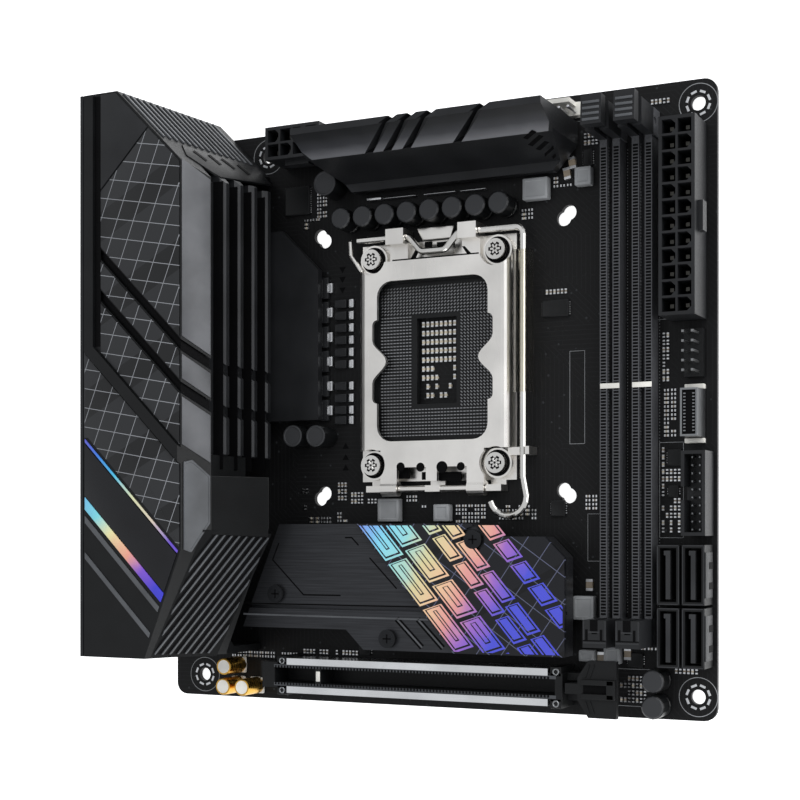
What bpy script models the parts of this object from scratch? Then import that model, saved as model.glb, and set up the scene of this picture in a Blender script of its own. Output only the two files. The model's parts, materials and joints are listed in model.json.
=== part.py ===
"""Mini-ITX computer motherboard, modelled as an assembly of separate pieces.

Units are metres and +Z is up. The board lies flat with its components facing up. +X points to the front
edge with the memory slots, -X to the rear edge with the ports, and +Y to the edge with the processor power
plug. Inside the script every place is given from the board's centre, with z = 0 on its upper face. One empty
then moves the whole assembly so that the origin is at the bottom centre of its box.
"""

import math

import bmesh
import bpy
from mathutils import Vector

# Board
BOARD_WIDTH = 0.17018
BOARD_DEPTH = 0.17018
BOARD_THICKNESS = 0.0016
BOARD_CORNER_RADIUS = 0.0035
MOUNT_HOLE_DIAMETER = 0.00396
MOUNT_FROM_FRONT = 0.00508
MOUNT_FROM_SIDES = 0.00635
MOUNT_FROM_REAR_LOW = 0.01016
MOUNT_FROM_REAR_HIGH = 0.03302
REST_HEIGHT = 0.0022
FIT_GAP = 0.0003
PEG_DIAMETER = 0.0024
OVERCUT = 0.001
ROUND_SIDES = 24
PIN_SIDES = 12
BORE_SIDES = 16
HEX_SIDES = 6
SLEEVE_STEPS = 3
PLATE_EDGE_STEPS = 4
TAB_STEPS = 12
HOOK_STEPS = 10

# Processor socket and its clamp
SOCKET_OFFSET_X = 0.0049
SOCKET_FROM_NORTH = 0.07104
COOLER_PITCH_INNER = 0.075
COOLER_PITCH_OUTER = 0.078
COOLER_HOLE_DIAMETER = 0.0042
SOCKET_WIDTH = 0.042
SOCKET_LENGTH = 0.0505
SOCKET_SEAT_WIDTH = 0.0377
SOCKET_SEAT_LENGTH = 0.0452
SOCKET_SEAT_HEIGHT = 0.0024
SOCKET_RIM_HEIGHT = 0.0038
SOCKET_WELL_WIDTH = 0.0124
SOCKET_WELL_LENGTH = 0.0246
FRAME_THICKNESS = 0.0012
FRAME_SIDE_BAR = 0.0028
FRAME_END_BAR = 0.0088
EAR_SIZE = 0.0086
EAR_HEIGHT = 0.0038
SCREW_SPAN_X = 0.0386
SCREW_SPAN_Y = 0.0594
SCREW_HEAD_DIAMETER = 0.0058
SCREW_HEAD_HEIGHT = 0.0018
SCREW_DRIVE = 0.0032
SCREW_SHANK_DIAMETER = 0.0032
BACKPLATE_WIDTH = 0.056
BACKPLATE_LENGTH = 0.072
BACKPLATE_WINDOW = 0.016
PLATE_WIDTH = 0.0468
PLATE_LENGTH = 0.0541
PLATE_NORTH_REACH = 0.0286
PLATE_THICKNESS = 0.0012
PLATE_HEIGHT = 0.0049
PLATE_EDGE_RADIUS = 0.0022
WINDOW_WIDTH = 0.0345
WINDOW_LENGTH = 0.0460
WINDOW_LOBE = 0.0015
WINDOW_LOBE_LENGTH = 0.0240
WINDOW_TAB_LENGTH = 0.0124
WINDOW_TAB_DEPTH = 0.0044
WINDOW_CORNER_RADIUS = 0.0045
HINGE_FROM_SOCKET = 0.0366
HINGE_HEIGHT = 0.0046
HINGE_BAR_DIAMETER = 0.0018
KNUCKLE_DIAMETER = 0.0042
KNUCKLE_WIDTH = 0.0052
KNUCKLE_SPAN = 0.0270
APRON_LENGTH = 0.0050
TONGUE_WIDTH = 0.0034
TONGUE_LENGTH = 0.0090
LEVER_DIAMETER = 0.0019
LEVER_AXLE_FROM_SOCKET = 0.0355
LEVER_HEIGHT = 0.0048
LEVER_BEND_RADIUS = 0.0022
LEVER_LEFT_REACH = 0.0240
LEVER_ARM_REACH = 0.0273
LEVER_ARM_LENGTH = 0.0800
LEVER_HOOK_RADIUS = 0.0054
LEVER_HOOK_TURN = math.radians(165)
LEVER_HOOK_BOW = 0.0010
CRANK_WIDTH = 0.0076
CRANK_SLOPE = 0.0040
CRANK_DEPTH = 0.0046
CLAMP_TAB_SPAN = 0.0225
CLAMP_TAB_WIDTH = 0.0056
CLAMP_TAB_WALL = 0.0010
SLEEVE_WIDTH = 0.0056
SLEEVE_HEIGHT = 0.0030
SLEEVE_LENGTH = 0.0392
SLEEVE_FROM_AXLE = 0.0066
CATCH_FROM_AXLE = 0.0620
CATCH_LENGTH = 0.0022

# Memory slots
DIMM_FROM_FRONT = 0.01869
DIMM_PITCH = 0.0089
DIMM_WIDTH = 0.00555
DIMM_HEIGHT = 0.0060
DIMM_FROM_NORTH = 0.0148
DIMM_FROM_SOUTH = 0.02708
DIMM_GROOVE_WIDTH = 0.0016
DIMM_GROOVE_DEPTH = 0.0042
DIMM_KEY_FROM_END = 0.0622
DIMM_KEY_LENGTH = 0.0014
TOWER_WIDTH = 0.0064
TOWER_LENGTH = 0.0072
TOWER_HEIGHT = 0.0168
STOP_HEIGHT = 0.0188
LATCH_BLADE = 0.0026
LATCH_LENGTH = 0.0060
LATCH_FOOT = 0.0014
LATCH_HEIGHT = 0.0220
LATCH_GRIP_HEIGHT = 0.0038
LATCH_GRIP_LENGTH = 0.0078
LATCH_PIVOT_HEIGHT = 0.0046
LATCH_PIVOT_DIAMETER = 0.0020

# Expansion slot
PCIE_FROM_SOUTH = 0.00831
PCIE_WIDTH = 0.0075
PCIE_HEIGHT = 0.0108
PCIE_LENGTH = 0.0936
PCIE_FROM_FRONT = 0.0393
PCIE_GROOVE_WIDTH = 0.0044
PCIE_GROOVE_DEPTH = 0.0080
PCIE_KEY_FROM_REAR = 0.0187
PCIE_KEY_LENGTH = 0.0019
PCIE_RAIL_THICKNESS = 0.0010
PCIE_RAIL_LIP = 0.0009
PCIE_RAIL_LENGTH = 0.0810
PCIE_RAIL_SHIFT = 0.0024
PCIE_LATCH_WIDTH = 0.0152
PCIE_LATCH_LENGTH = 0.0108
PCIE_LATCH_THICKNESS = 0.0018
PCIE_LATCH_NECK = 0.0060
PCIE_LATCH_ARM = 0.0032
PCIE_LATCH_PIVOT_HEIGHT = 0.0042
PCIE_LATCH_TOP = 0.0120
PCIE_POST_LENGTH = 0.0050
PCIE_POST_WALL = 0.0016

# Power plugs
POWER_PITCH = 0.0042
POWER_CELL = 0.0036
POWER_WALL = 0.0006
POWER_HEIGHT = 0.0128
POWER_WAFER = 0.0010
POWER_PIN = 0.0010
POWER_PIN_HEIGHT = 0.0095
POWER_LEDGE_WIDTH = 0.0078
POWER_LEDGE_DEPTH = 0.0014
POWER_LEDGE_HEIGHT = 0.0036
POWER_LEDGE_TOP = 0.0100
ATX_ROWS = 12
ATX_FROM_FRONT = 0.0026
ATX_FROM_NORTH = 0.01236
EPS_ROWS = 4
EPS_FROM_REAR = 0.0394
EPS_FROM_NORTH = 0.0014

# Headers along the front edge
SATA_WIDTH = 0.0060
SATA_LENGTH = 0.0157
SATA_HEIGHT = 0.0088
SATA_PITCH_X = 0.0067
SATA_PITCH_Y = 0.0165
SATA_FROM_FRONT = 0.0011
SATA_FROM_SOUTH = 0.0145
SATA_WALL = 0.0008
SATA_CAVITY_DEPTH = 0.0062
SATA_BLADE = 0.0013
USB3_WIDTH = 0.0064
USB3_LENGTH = 0.0222
USB3_HEIGHT = 0.0090
USB3_WALL = 0.0009
USB3_FROM_FRONT = 0.0009
USB3_ABOVE_SATA = 0.0024
USBC_WIDTH = 0.0046
USBC_LENGTH = 0.0126
USBC_HEIGHT = 0.0084
USBC_WALL = 0.0005
USBC_TONGUE = 0.0008
USBC_FROM_FRONT = 0.0031
USBC_ABOVE_USB3 = 0.0038
PANEL_PITCH = 0.00254
PANEL_COLUMNS = 2
PANEL_ROWS = 5
PANEL_BASE_HEIGHT = 0.0025
PANEL_PIN = 0.00064
PANEL_PIN_HEIGHT = 0.0085
PANEL_FROM_FRONT = 0.0032
PANEL_ABOVE_USBC = 0.0034
FAN_WIDTH = 0.0102
FAN_DEPTH = 0.0036
FAN_BASE_HEIGHT = 0.0030
FAN_HEIGHT = 0.0085
FAN_WALL = 0.0012
FAN_FROM_FRONT = 0.0370
FAN_FROM_NORTH = 0.0028

# Capacitors
CAP_DIAMETER = 0.0063
CAP_HEIGHT = 0.0080
CAP_GROOVE_HEIGHT = 0.0012
CAP_GROOVE_DEPTH = 0.0004
CAP_TOP_BEVEL = 0.0005
CAP_ROW_COUNT = 8
CAP_ROW_PITCH = 0.00705
CAP_ROW_OFFSET_X = -0.0037
CAP_ROW_FROM_SOCKET = 0.0421
CAP_FRONT_FROM_EDGE = 0.0153
CAP_FRONT_FROM_SOUTH = 0.0038
CAP_FRONT_PITCH = 0.0069

# Rear ports, from the edge with the expansion slot upwards
SHIELD_BEHIND_BOARD = 0.0016
SHIELD_THICKNESS = 0.0010
SHIELD_BELOW = 0.0008
PORT_BEHIND_SHIELD = 0.0006
PORT_WALL = 0.0008
AUDIO_FROM_END = 0.0050
AUDIO_WIDTH = 0.0260
AUDIO_HEIGHT = 0.0240
AUDIO_DEPTH = 0.0150
AUDIO_BORE = 0.0036
AUDIO_PITCH = 0.0118
AUDIO_BORE_DEPTH = 0.0100
WIFI_WIDTH = 0.0130
WIFI_HEIGHT = 0.0300
WIFI_DEPTH = 0.0260
WIFI_JACK_DIAMETER = 0.0062
WIFI_JACK_LENGTH = 0.0014
WIFI_JACK_PITCH = 0.0140
LAN_WIDTH = 0.0165
LAN_HEIGHT = 0.0290
LAN_DEPTH = 0.0230
LAN_JACK_WIDTH = 0.0120
LAN_JACK_HEIGHT = 0.0090
LAN_JACK_DEPTH = 0.0130
USB_WIDTH = 0.0145
USB_HEIGHT = 0.0290
USB_DEPTH = 0.0180
USB_MOUTH_WIDTH = 0.0125
USB_MOUTH_HEIGHT = 0.0051
USB_MOUTH_DEPTH = 0.0120
USB_TONGUE = 0.0019
USB_PITCH = 0.0078
DISPLAY_WIDTH = 0.0180
DISPLAY_HEIGHT = 0.0200
DISPLAY_DEPTH = 0.0160
DISPLAY_MOUTH_WIDTH = 0.0155
DISPLAY_MOUTH_HEIGHT = 0.0046
DISPLAY_MOUTH_DEPTH = 0.0100
DISPLAY_PITCH = 0.0092
DISPLAY_TONGUE = 0.0012
PORT_GAP = 0.0042
BUTTON_DIAMETER = 0.0036
BUTTON_LENGTH = 0.0070
BUTTON_HEIGHT = 0.0060
BUTTON_TRAVEL = 0.0010
BUTTON_STAND = 0.0004
SWITCH_SIZE = 0.0072
SWITCH_HEIGHT = 0.0100
SWITCH_DEPTH = 0.0080

# Rear cover
COVER_TOP = 0.0453
COVER_WALL = 0.0020
COVER_NORTH_OVERHANG = 0.0047
COVER_FROM_SOUTH = 0.0146
COVER_FACE_INSET = 0.0050
COVER_FACE_DROP = 0.0076
COVER_DEPTH = 0.0394
COVER_NORTH_CUT = 0.0215
COVER_NORTH_LEAN = 0.0057
COVER_SOUTH_CUT_X = 0.0122
COVER_SOUTH_CUT_Y = 0.0306
COVER_SOUTH_LEAN = 0.0089
COVER_SOUTH_DROP = 0.0219
COVER_SKIRT_REACH = 0.0083
COVER_SKIRT_LOW = 0.0195
COVER_SKIRT_GAP = 0.0062
COVER_SLOT_COUNT = 2
COVER_SLOT_WIDTH = 0.0032
COVER_SLOT_DEPTH = 0.0014
COVER_SLOT_PITCH = 0.0118
COVER_SLOT_OFFSET = 0.0466
COVER_RIB_WIDTH = 0.0032
COVER_RIB_HEIGHT = 0.0009
COVER_RIB_LENGTH = 0.0720
COVER_RIB_INSET = 0.0006

# Rear voltage regulator heatsink
REAR_SINK_SOUTH = 0.0721
REAR_SINK_LENGTH = 0.0790
REAR_SINK_CORE = 0.0090
REAR_SINK_TOP = 0.0374
REAR_SINK_BASE = 0.0020
REAR_SINK_SADDLE_LENGTH = 0.0300
REAR_SINK_SADDLE_WIDTH = 0.0046
SINK_POST_DIAMETER = 0.0050
REAR_SINK_FIN_COUNT = 4
REAR_SINK_FIN_DROP = 0.0042
REAR_SINK_FIN_PITCH = 0.0076
REAR_SINK_FIN_GAP = 0.0047
REAR_SINK_FIN_DEPTH = 0.0045
REAR_SINK_FIN_BEVEL = 0.0013
REAR_SINK_FOOT_REACH = 0.0144
REAR_SINK_FOOT_TOP = 0.0044
REAR_SINK_FOOT_SOUTH = 0.0112
REAR_SINK_FOOT_NORTH = 0.0112
REAR_SINK_FOOT_CUT = 0.0124

# North voltage regulator heatsink
NORTH_SINK_FROM_NORTH = 0.0081
NORTH_SINK_TO_DIMM = 0.0072
NORTH_SINK_TOP = 0.0308
NORTH_SINK_RIDGE = 0.0018
NORTH_SINK_SLOPE_DEPTH = 0.0049
NORTH_SINK_SLOPE_DROP = 0.0098
NORTH_SINK_FRONT_DEPTH = 0.0040
NORTH_SINK_FOOT_DEPTH = 0.0024
NORTH_SINK_FOOT_TOP = 0.0052
NORTH_SINK_BASE = 0.0020
NORTH_SINK_SLIT_WIDTH = 0.0026
NORTH_SINK_SLIT_DEPTH = 0.0030
NORTH_SINK_SLITS = (0.0322, 0.0379, 0.0438, 0.0590)
NORTH_SINK_SLIT_LEAN = 0.0272
NORTH_SINK_CUT_LENGTH = 0.0068
NORTH_SINK_CUT_DEPTH = 0.0080
EPS_TO_SINK = 0.0008

# Storage heatsink, its cover and what is under it
M2_GAP_TO_LEVER = 0.0012
M2_GAP_TO_PCIE = 0.0033
M2_WEST_FROM_REAR = 0.0313
M2_EAST_FROM_FRONT = 0.0378
M2_TOP = 0.0120
M2_THICKNESS = 0.0056
M2_LEAN = 0.0124
M2_STEP_DEPTH = 0.0056
M2_STEP_LENGTH = 0.0345
M2_CORNER_CUT = 0.0056
M2_NORTH_DROP = 0.0036
M2_NORTH_STEP = 0.0180
M2_GROOVE_WIDTH = 0.0010
M2_GROOVE_DEPTH = 0.0010
M2_COVER_THICKNESS = 0.0010
M2_COVER_SPLIT_NORTH = 0.0383
M2_COVER_SPLIT_SOUTH = 0.0304
M2_SCREW_DIAMETER = 0.0052
M2_SCREW_WEST = 0.0118
M2_SCREW_BEFORE_STEP = 0.0030
M2_SCREW_PAST_STEP = 0.0137
M2_SCREW_FROM_SOUTH = 0.0034
M2_SCREW_HEIGHT = 0.0011
M2_POST_DIAMETER = 0.0050
CHIPSET_SIZE = 0.0240
CHIPSET_HEIGHT = 0.0018
CHIPSET_FROM_FRONT = 0.0640
CHIPSET_SHIFT = 0.0020
M2_SOCKET_WIDTH = 0.0220
M2_SOCKET_DEPTH = 0.0086
M2_SOCKET_HEIGHT = 0.0042
M2_SOCKET_FROM_EDGE = 0.0046
M2_SOCKET_MOUTH = 0.0012

# Places worked out from the sizes above
EAST = BOARD_WIDTH / 2
WEST = -EAST
NORTH = BOARD_DEPTH / 2
SOUTH = -NORTH
UNDERSIDE = -BOARD_THICKNESS
FLOOR = UNDERSIDE - REST_HEIGHT
SOCKET_X = SOCKET_OFFSET_X
SOCKET_Y = NORTH - SOCKET_FROM_NORTH
HINGE_Y = SOCKET_Y - HINGE_FROM_SOCKET
LEVER_Y = SOCKET_Y + LEVER_AXLE_FROM_SOCKET
LEVER_X = SOCKET_X + LEVER_ARM_REACH
DIMM_NORTH = NORTH - DIMM_FROM_NORTH
DIMM_SOUTH = SOUTH + DIMM_FROM_SOUTH
DIMM_X = {"b": EAST - DIMM_FROM_FRONT, "a": EAST - DIMM_FROM_FRONT - DIMM_PITCH}
LATCH_Y = DIMM_NORTH + TOWER_LENGTH / 2
PCIE_Y = SOUTH + PCIE_FROM_SOUTH
PCIE_EAST = EAST - PCIE_FROM_FRONT
PCIE_WEST = PCIE_EAST - PCIE_LENGTH
PCIE_PIVOT_X = PCIE_EAST + FIT_GAP + PCIE_POST_LENGTH / 2
POWER_DEPTH = 2 * POWER_PITCH + 2 * POWER_WALL
ATX_LENGTH = ATX_ROWS * POWER_PITCH + 2 * POWER_WALL
EPS_LENGTH = EPS_ROWS * POWER_PITCH + 2 * POWER_WALL
EPS_EAST = WEST + EPS_FROM_REAR + EPS_LENGTH
SHIELD_INNER = WEST - SHIELD_BEHIND_BOARD
SHIELD_OUTER = SHIELD_INNER - SHIELD_THICKNESS
PORT_FACE = SHIELD_OUTER - PORT_BEHIND_SHIELD
REAR_MOST = SHIELD_OUTER - WIFI_JACK_LENGTH
COVER_EAST = SHIELD_OUTER + COVER_DEPTH
COVER_FACE_TOP_X = COVER_EAST - COVER_FACE_INSET
COVER_FACE_LOW = COVER_TOP - COVER_FACE_DROP
COVER_NORTH = NORTH + COVER_NORTH_OVERHANG
COVER_SOUTH = SOUTH + COVER_FROM_SOUTH
REAR_SINK_FRONT = COVER_EAST + REAR_SINK_FIN_BEVEL
REAR_SINK_BACK = REAR_SINK_FRONT - REAR_SINK_FIN_DEPTH - REAR_SINK_CORE
REAR_SINK_Y = (SOUTH + REAR_SINK_SOUTH, SOUTH + REAR_SINK_SOUTH + REAR_SINK_LENGTH)
REAR_FOOT_EAST = REAR_SINK_FRONT + REAR_SINK_FOOT_REACH
NORTH_SINK_WEST = EPS_EAST + EPS_TO_SINK
NORTH_SINK_EAST = DIMM_X["a"] - TOWER_WIDTH / 2 - NORTH_SINK_TO_DIMM
PCIE_RAIL_OUTER = PCIE_Y + PCIE_WIDTH / 2 + FIT_GAP + PCIE_RAIL_THICKNESS
M2_NORTH = LEVER_Y - LEVER_ARM_LENGTH - LEVER_DIAMETER / 2 - M2_GAP_TO_LEVER
M2_SOUTH = PCIE_RAIL_OUTER + M2_GAP_TO_PCIE
M2_WEST = WEST + M2_WEST_FROM_REAR
M2_EAST = EAST - M2_EAST_FROM_FRONT
SATA_X = EAST - SATA_FROM_FRONT - SATA_WIDTH / 2
SATA_Y = SOUTH + SATA_FROM_SOUTH + SATA_LENGTH / 2
SATA_NORTH = SATA_Y + SATA_PITCH_Y + SATA_LENGTH / 2
USB3_SOUTH = SATA_NORTH + USB3_ABOVE_SATA
USBC_SOUTH = USB3_SOUTH + USB3_LENGTH + USBC_ABOVE_USB3
PANEL_SOUTH = USBC_SOUTH + USBC_LENGTH + PANEL_ABOVE_USBC

# Finishes: base colour, roughness, metallic
FINISHES = {
    "board_lacquer": ((0.012, 0.012, 0.014), 0.55, 0.0),
    "black_plastic": ((0.020, 0.020, 0.022), 0.50, 0.0),
    "grey_plastic": ((0.060, 0.060, 0.064), 0.50, 0.0),
    "white_plastic": ((0.750, 0.740, 0.720), 0.45, 0.0),
    "clear_plastic": ((0.550, 0.530, 0.480), 0.20, 0.0),
    "nickel_steel": ((0.640, 0.620, 0.590), 0.28, 1.0),
    "bright_steel": ((0.700, 0.690, 0.680), 0.18, 1.0),
    "dark_steel": ((0.110, 0.110, 0.115), 0.40, 1.0),
    "black_anodised": ((0.030, 0.030, 0.033), 0.42, 0.8),
    "brushed_grey": ((0.080, 0.080, 0.084), 0.38, 0.9),
    "gold_plate": ((0.780, 0.560, 0.250), 0.25, 1.0),
    "capacitor_black": ((0.025, 0.025, 0.027), 0.35, 0.1),
    "printed_sheet": ((0.300, 0.280, 0.420), 0.35, 0.3),
    "silicon_package": ((0.030, 0.034, 0.032), 0.45, 0.0),
}


def circle(x, y, diameter, sides=ROUND_SIDES):
    """Points of a circle, counted anticlockwise."""
    turn = 2 * math.pi / sides
    return [(x + diameter / 2 * math.cos(turn * i), y + diameter / 2 * math.sin(turn * i))
            for i in range(sides)]


def rounded_rectangle(x0, x1, y0, y1, radius, steps=5):
    """Rectangle outline with an arc at each corner."""
    corners = ((x1 - radius, y1 - radius), (x0 + radius, y1 - radius),
               (x0 + radius, y0 + radius), (x1 - radius, y0 + radius))
    points = []
    for quarter, (cx, cy) in enumerate(corners):
        for i in range(steps + 1):
            angle = math.pi / 2 * (quarter + i / steps)
            points.append((cx + radius * math.cos(angle), cy + radius * math.sin(angle)))
    return points


def rounded_path(points, radius, steps=4):
    """Open path through the points, with each inner corner turned into an arc."""
    path = [points[0]]
    for before, corner, after in zip(points, points[1:], points[2:]):
        into, out = (before - corner).normalized(), (after - corner).normalized()
        half = into.angle(out) / 2
        reach = radius / math.tan(half)
        centre = corner + (into + out).normalized() * radius / math.sin(half)
        start, end = corner + into * reach - centre, corner + out * reach - centre
        path += [centre + radius * start.slerp(end, i / steps) for i in range(steps + 1)]
    return path + [points[-1]]


def prism(outline, axis, low, high):
    """Closed prism: an outline of 2D points pushed along an axis from low to high."""
    place = {"X": lambda a, b, c: (c, a, b), "Y": lambda a, b, c: (a, c, b),
             "Z": lambda a, b, c: (a, b, c)}[axis]
    shape = bmesh.new()
    face = shape.faces.new([shape.verts.new(place(a, b, low)) for a, b in outline])
    grown = bmesh.ops.extrude_face_region(shape, geom=[face])["geom"]
    moved = [item for item in grown if isinstance(item, bmesh.types.BMVert)]
    bmesh.ops.translate(shape, vec=Vector(place(0, 0, high - low)), verts=moved)
    bmesh.ops.recalc_face_normals(shape, faces=shape.faces)
    return shape


def box(x0, x1, y0, y1, z0, z1):
    """Closed box between two corners."""
    return prism([(x0, y0), (x1, y0), (x1, y1), (x0, y1)], "Z", z0, z1)


def rod(x, y, diameter, z0, z1, sides=ROUND_SIDES):
    """Upright cylinder."""
    return prism(circle(x, y, diameter, sides), "Z", z0, z1)


def peg(x, y):
    """Locating peg or solder tail that passes through the board and stands on the surface below."""
    return rod(x, y, PEG_DIAMETER, FLOOR, FIT_GAP + OVERCUT / 2, PIN_SIDES)


def wire(path, diameter):
    """Round wire along a level path, closed at both ends."""
    shape = bmesh.new()
    rings = []
    for i, place in enumerate(path):
        along = (path[min(i + 1, len(path) - 1)] - path[max(i - 1, 0)]).normalized()
        across = Vector((-along.y, along.x, 0))
        rings.append([shape.verts.new(place + across * a + Vector((0, 0, b)))
                      for a, b in circle(0, 0, diameter, PIN_SIDES)])
    for ring, following in zip(rings, rings[1:]):
        for i in range(PIN_SIDES):
            shape.faces.new((ring[i - 1], ring[i], following[i], following[i - 1]))
    shape.faces.new(rings[0])
    shape.faces.new(rings[-1])
    bmesh.ops.recalc_face_normals(shape, faces=shape.faces)
    return shape


def plane_through(p, q, r, inside):
    """Plane through three points as a point and a normal that looks away from an inner point."""
    normal = (q - p).cross(r - p).normalized()
    return (p, -normal if normal.dot(inside - p) > 0 else normal)


def trim(shape, planes, inset=0.0):
    """Cut a closed shape by planes and close it again, keeping the side behind each normal."""
    for point, normal in planes:
        everything = shape.verts[:] + shape.edges[:] + shape.faces[:]
        bmesh.ops.bisect_plane(shape, geom=everything, plane_co=point - normal * inset, plane_no=normal,
                               clear_outer=True)
        bmesh.ops.holes_fill(shape, edges=[edge for edge in shape.edges if edge.is_boundary])
    bmesh.ops.recalc_face_normals(shape, faces=shape.faces)
    return shape


def material(finish):
    """Principled material of a named finish, made once."""
    made = bpy.data.materials.get(finish)
    if made:
        return made
    colour, roughness, metallic = FINISHES[finish]
    made = bpy.data.materials.new(finish)
    made.use_nodes = True
    shader = made.node_tree.nodes["Principled BSDF"]
    shader.inputs["Base Color"].default_value = (*colour, 1.0)
    shader.inputs["Roughness"].default_value = roughness
    shader.inputs["Metallic"].default_value = metallic
    return made


def mesh_object(name, shapes, pivot):
    """Object at the pivot that holds the shapes, which are given in the board's coordinates."""
    mesh = bpy.data.meshes.new(name)
    merged = bmesh.new()
    for shape in shapes:
        shape.to_mesh(mesh)
        merged.from_mesh(mesh)
        shape.free()
    bmesh.ops.translate(merged, vec=-Vector(pivot), verts=merged.verts)
    merged.to_mesh(mesh)
    merged.free()
    made = bpy.data.objects.new(name, mesh)
    bpy.context.scene.collection.objects.link(made)
    made.parent = DATUM
    made.location = pivot
    return made


def combine(piece, operation, tools, pivot, core=None):
    """Boolean of a piece with tool shapes, where a core shape can first be taken out of the tools."""
    tool = mesh_object(piece.name + "_" + operation.lower(), tools, pivot)
    tool.hide_render = True
    tool.display_type = "WIRE"
    if core:
        combine(tool, "DIFFERENCE", [core], pivot)
    step = piece.modifiers.new(operation.title(), "BOOLEAN")
    step.operation = operation
    step.solver = "EXACT"
    step.use_self = len(tools) > 1
    step.object = tool


def solid(name, finish, shape, joins=(), cuts=(), inserts=(), pivot=(0, 0, 0), smooth=False):
    """One sub-part: a shape, what is joined to it, what is cut from it, and what then stands in the cuts."""
    piece = mesh_object(name, [shape], pivot)
    piece.data.materials.append(material(finish))
    for operation, tools in (("UNION", joins), ("DIFFERENCE", cuts), ("UNION", inserts)):
        if tools:
            combine(piece, operation, list(tools), pivot)
    if smooth:
        piece.data.shade_smooth()
        piece.data.set_sharp_from_angle(angle=math.radians(40))
    return piece


def mount_holes():
    """Centres of the four mounting holes."""
    return [(EAST - MOUNT_FROM_FRONT, NORTH - MOUNT_FROM_SIDES),
            (EAST - MOUNT_FROM_FRONT, SOUTH + MOUNT_FROM_SIDES),
            (WEST + MOUNT_FROM_REAR_LOW, SOUTH + MOUNT_FROM_SIDES),
            (WEST + MOUNT_FROM_REAR_HIGH, NORTH - MOUNT_FROM_SIDES)]


def clamp_screws():
    """Centres of the four clamp screws."""
    return [(SOCKET_X + sx * SCREW_SPAN_X / 2, SOCKET_Y + sy * SCREW_SPAN_Y / 2) for sy in (1, -1)
            for sx in (-1, 1)]


def dimm_pegs(x):
    """Peg places of one memory slot."""
    return [(x, DIMM_SOUTH + TOWER_LENGTH), (x, DIMM_NORTH - TOWER_LENGTH)]


def pcie_pegs():
    """Peg places of the expansion slot."""
    return [(PCIE_WEST + PCIE_WIDTH, PCIE_Y), (PCIE_EAST - PCIE_WIDTH, PCIE_Y)]


def power_pegs(x0, x1, y0, y1):
    """Solder tail places of a power plug, on its middle line."""
    middle_x, middle_y = (x0 + x1) / 2, (y0 + y1) / 2
    if x1 - x0 < y1 - y0:
        return [(middle_x, y0 + POWER_PITCH), (middle_x, y1 - POWER_PITCH)]
    return [(x0 + POWER_PITCH, middle_y), (x1 - POWER_PITCH, middle_y)]


def atx_box():
    """Footprint of the main power plug."""
    x1, y1 = EAST - ATX_FROM_FRONT, NORTH - ATX_FROM_NORTH
    return x1 - POWER_DEPTH, x1, y1 - ATX_LENGTH, y1


def eps_box():
    """Footprint of the processor power plug."""
    x0, y1 = WEST + EPS_FROM_REAR, NORTH - EPS_FROM_NORTH
    return x0, x0 + EPS_LENGTH, y1 - POWER_DEPTH, y1


def port_places():
    """Name, depth, south side, width and height of each rear port, from south to north."""
    row = [("audio_jacks", AUDIO_DEPTH, AUDIO_WIDTH, AUDIO_HEIGHT),
           ("wifi_module", WIFI_DEPTH, WIFI_WIDTH, WIFI_HEIGHT),
           ("lan_usb_stack", LAN_DEPTH, LAN_WIDTH, LAN_HEIGHT),
           ("usb_stack_1", USB_DEPTH, USB_WIDTH, USB_HEIGHT),
           ("usb_stack_2", USB_DEPTH, USB_WIDTH, USB_HEIGHT),
           ("reset_switch", SWITCH_DEPTH, SWITCH_SIZE, SWITCH_HEIGHT),
           ("display_stack", DISPLAY_DEPTH, DISPLAY_WIDTH, DISPLAY_HEIGHT)]
    places, south = {}, COVER_SOUTH + AUDIO_FROM_END
    for name, depth, width, height in row:
        places[name] = (depth, south, width, height)
        south += width + PORT_GAP
    return places


def port_pegs(name):
    """Peg places of one rear port, inside the board's rear edge."""
    depth, south, width, _ = port_places()[name]
    x = max(PORT_FACE + depth - PEG_DIAMETER, WEST + PEG_DIAMETER)
    if width < 4 * PEG_DIAMETER:
        return [(x, south + width / 2)]
    return [(x, south + PEG_DIAMETER), (x, south + width - PEG_DIAMETER)]


def all_pegs():
    """Every place where a peg or tail passes through the board."""
    places = [spot for x in DIMM_X.values() for spot in dimm_pegs(x)] + pcie_pegs()
    places += power_pegs(*atx_box()) + power_pegs(*eps_box())
    return places + [spot for name in port_places() for spot in port_pegs(name)]


def make_board():
    """Board with its mounting, cooler, screw and peg holes."""
    cuts = [rod(x, y, MOUNT_HOLE_DIAMETER, UNDERSIDE - OVERCUT, OVERCUT) for x, y in mount_holes()]
    for pitch in (COOLER_PITCH_INNER, COOLER_PITCH_OUTER):
        for sx, sy in ((1, 1), (-1, 1), (-1, -1), (1, -1)):
            x, y = SOCKET_X + sx * pitch / 2, SOCKET_Y + sy * pitch / 2
            cuts.append(rod(x, y, COOLER_HOLE_DIAMETER, UNDERSIDE - OVERCUT, OVERCUT))
    cuts += [rod(x, y, SCREW_SHANK_DIAMETER + 2 * FIT_GAP, UNDERSIDE - OVERCUT, OVERCUT, PIN_SIDES)
             for x, y in clamp_screws()]
    cuts += [rod(x, y, PEG_DIAMETER + 2 * FIT_GAP, UNDERSIDE - OVERCUT, OVERCUT, PIN_SIDES)
             for x, y in all_pegs()]
    outline = rounded_rectangle(WEST, EAST, SOUTH, NORTH, BOARD_CORNER_RADIUS)
    solid("pcb", "board_lacquer", prism(outline, "Z", UNDERSIDE, 0), cuts=cuts)


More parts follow.
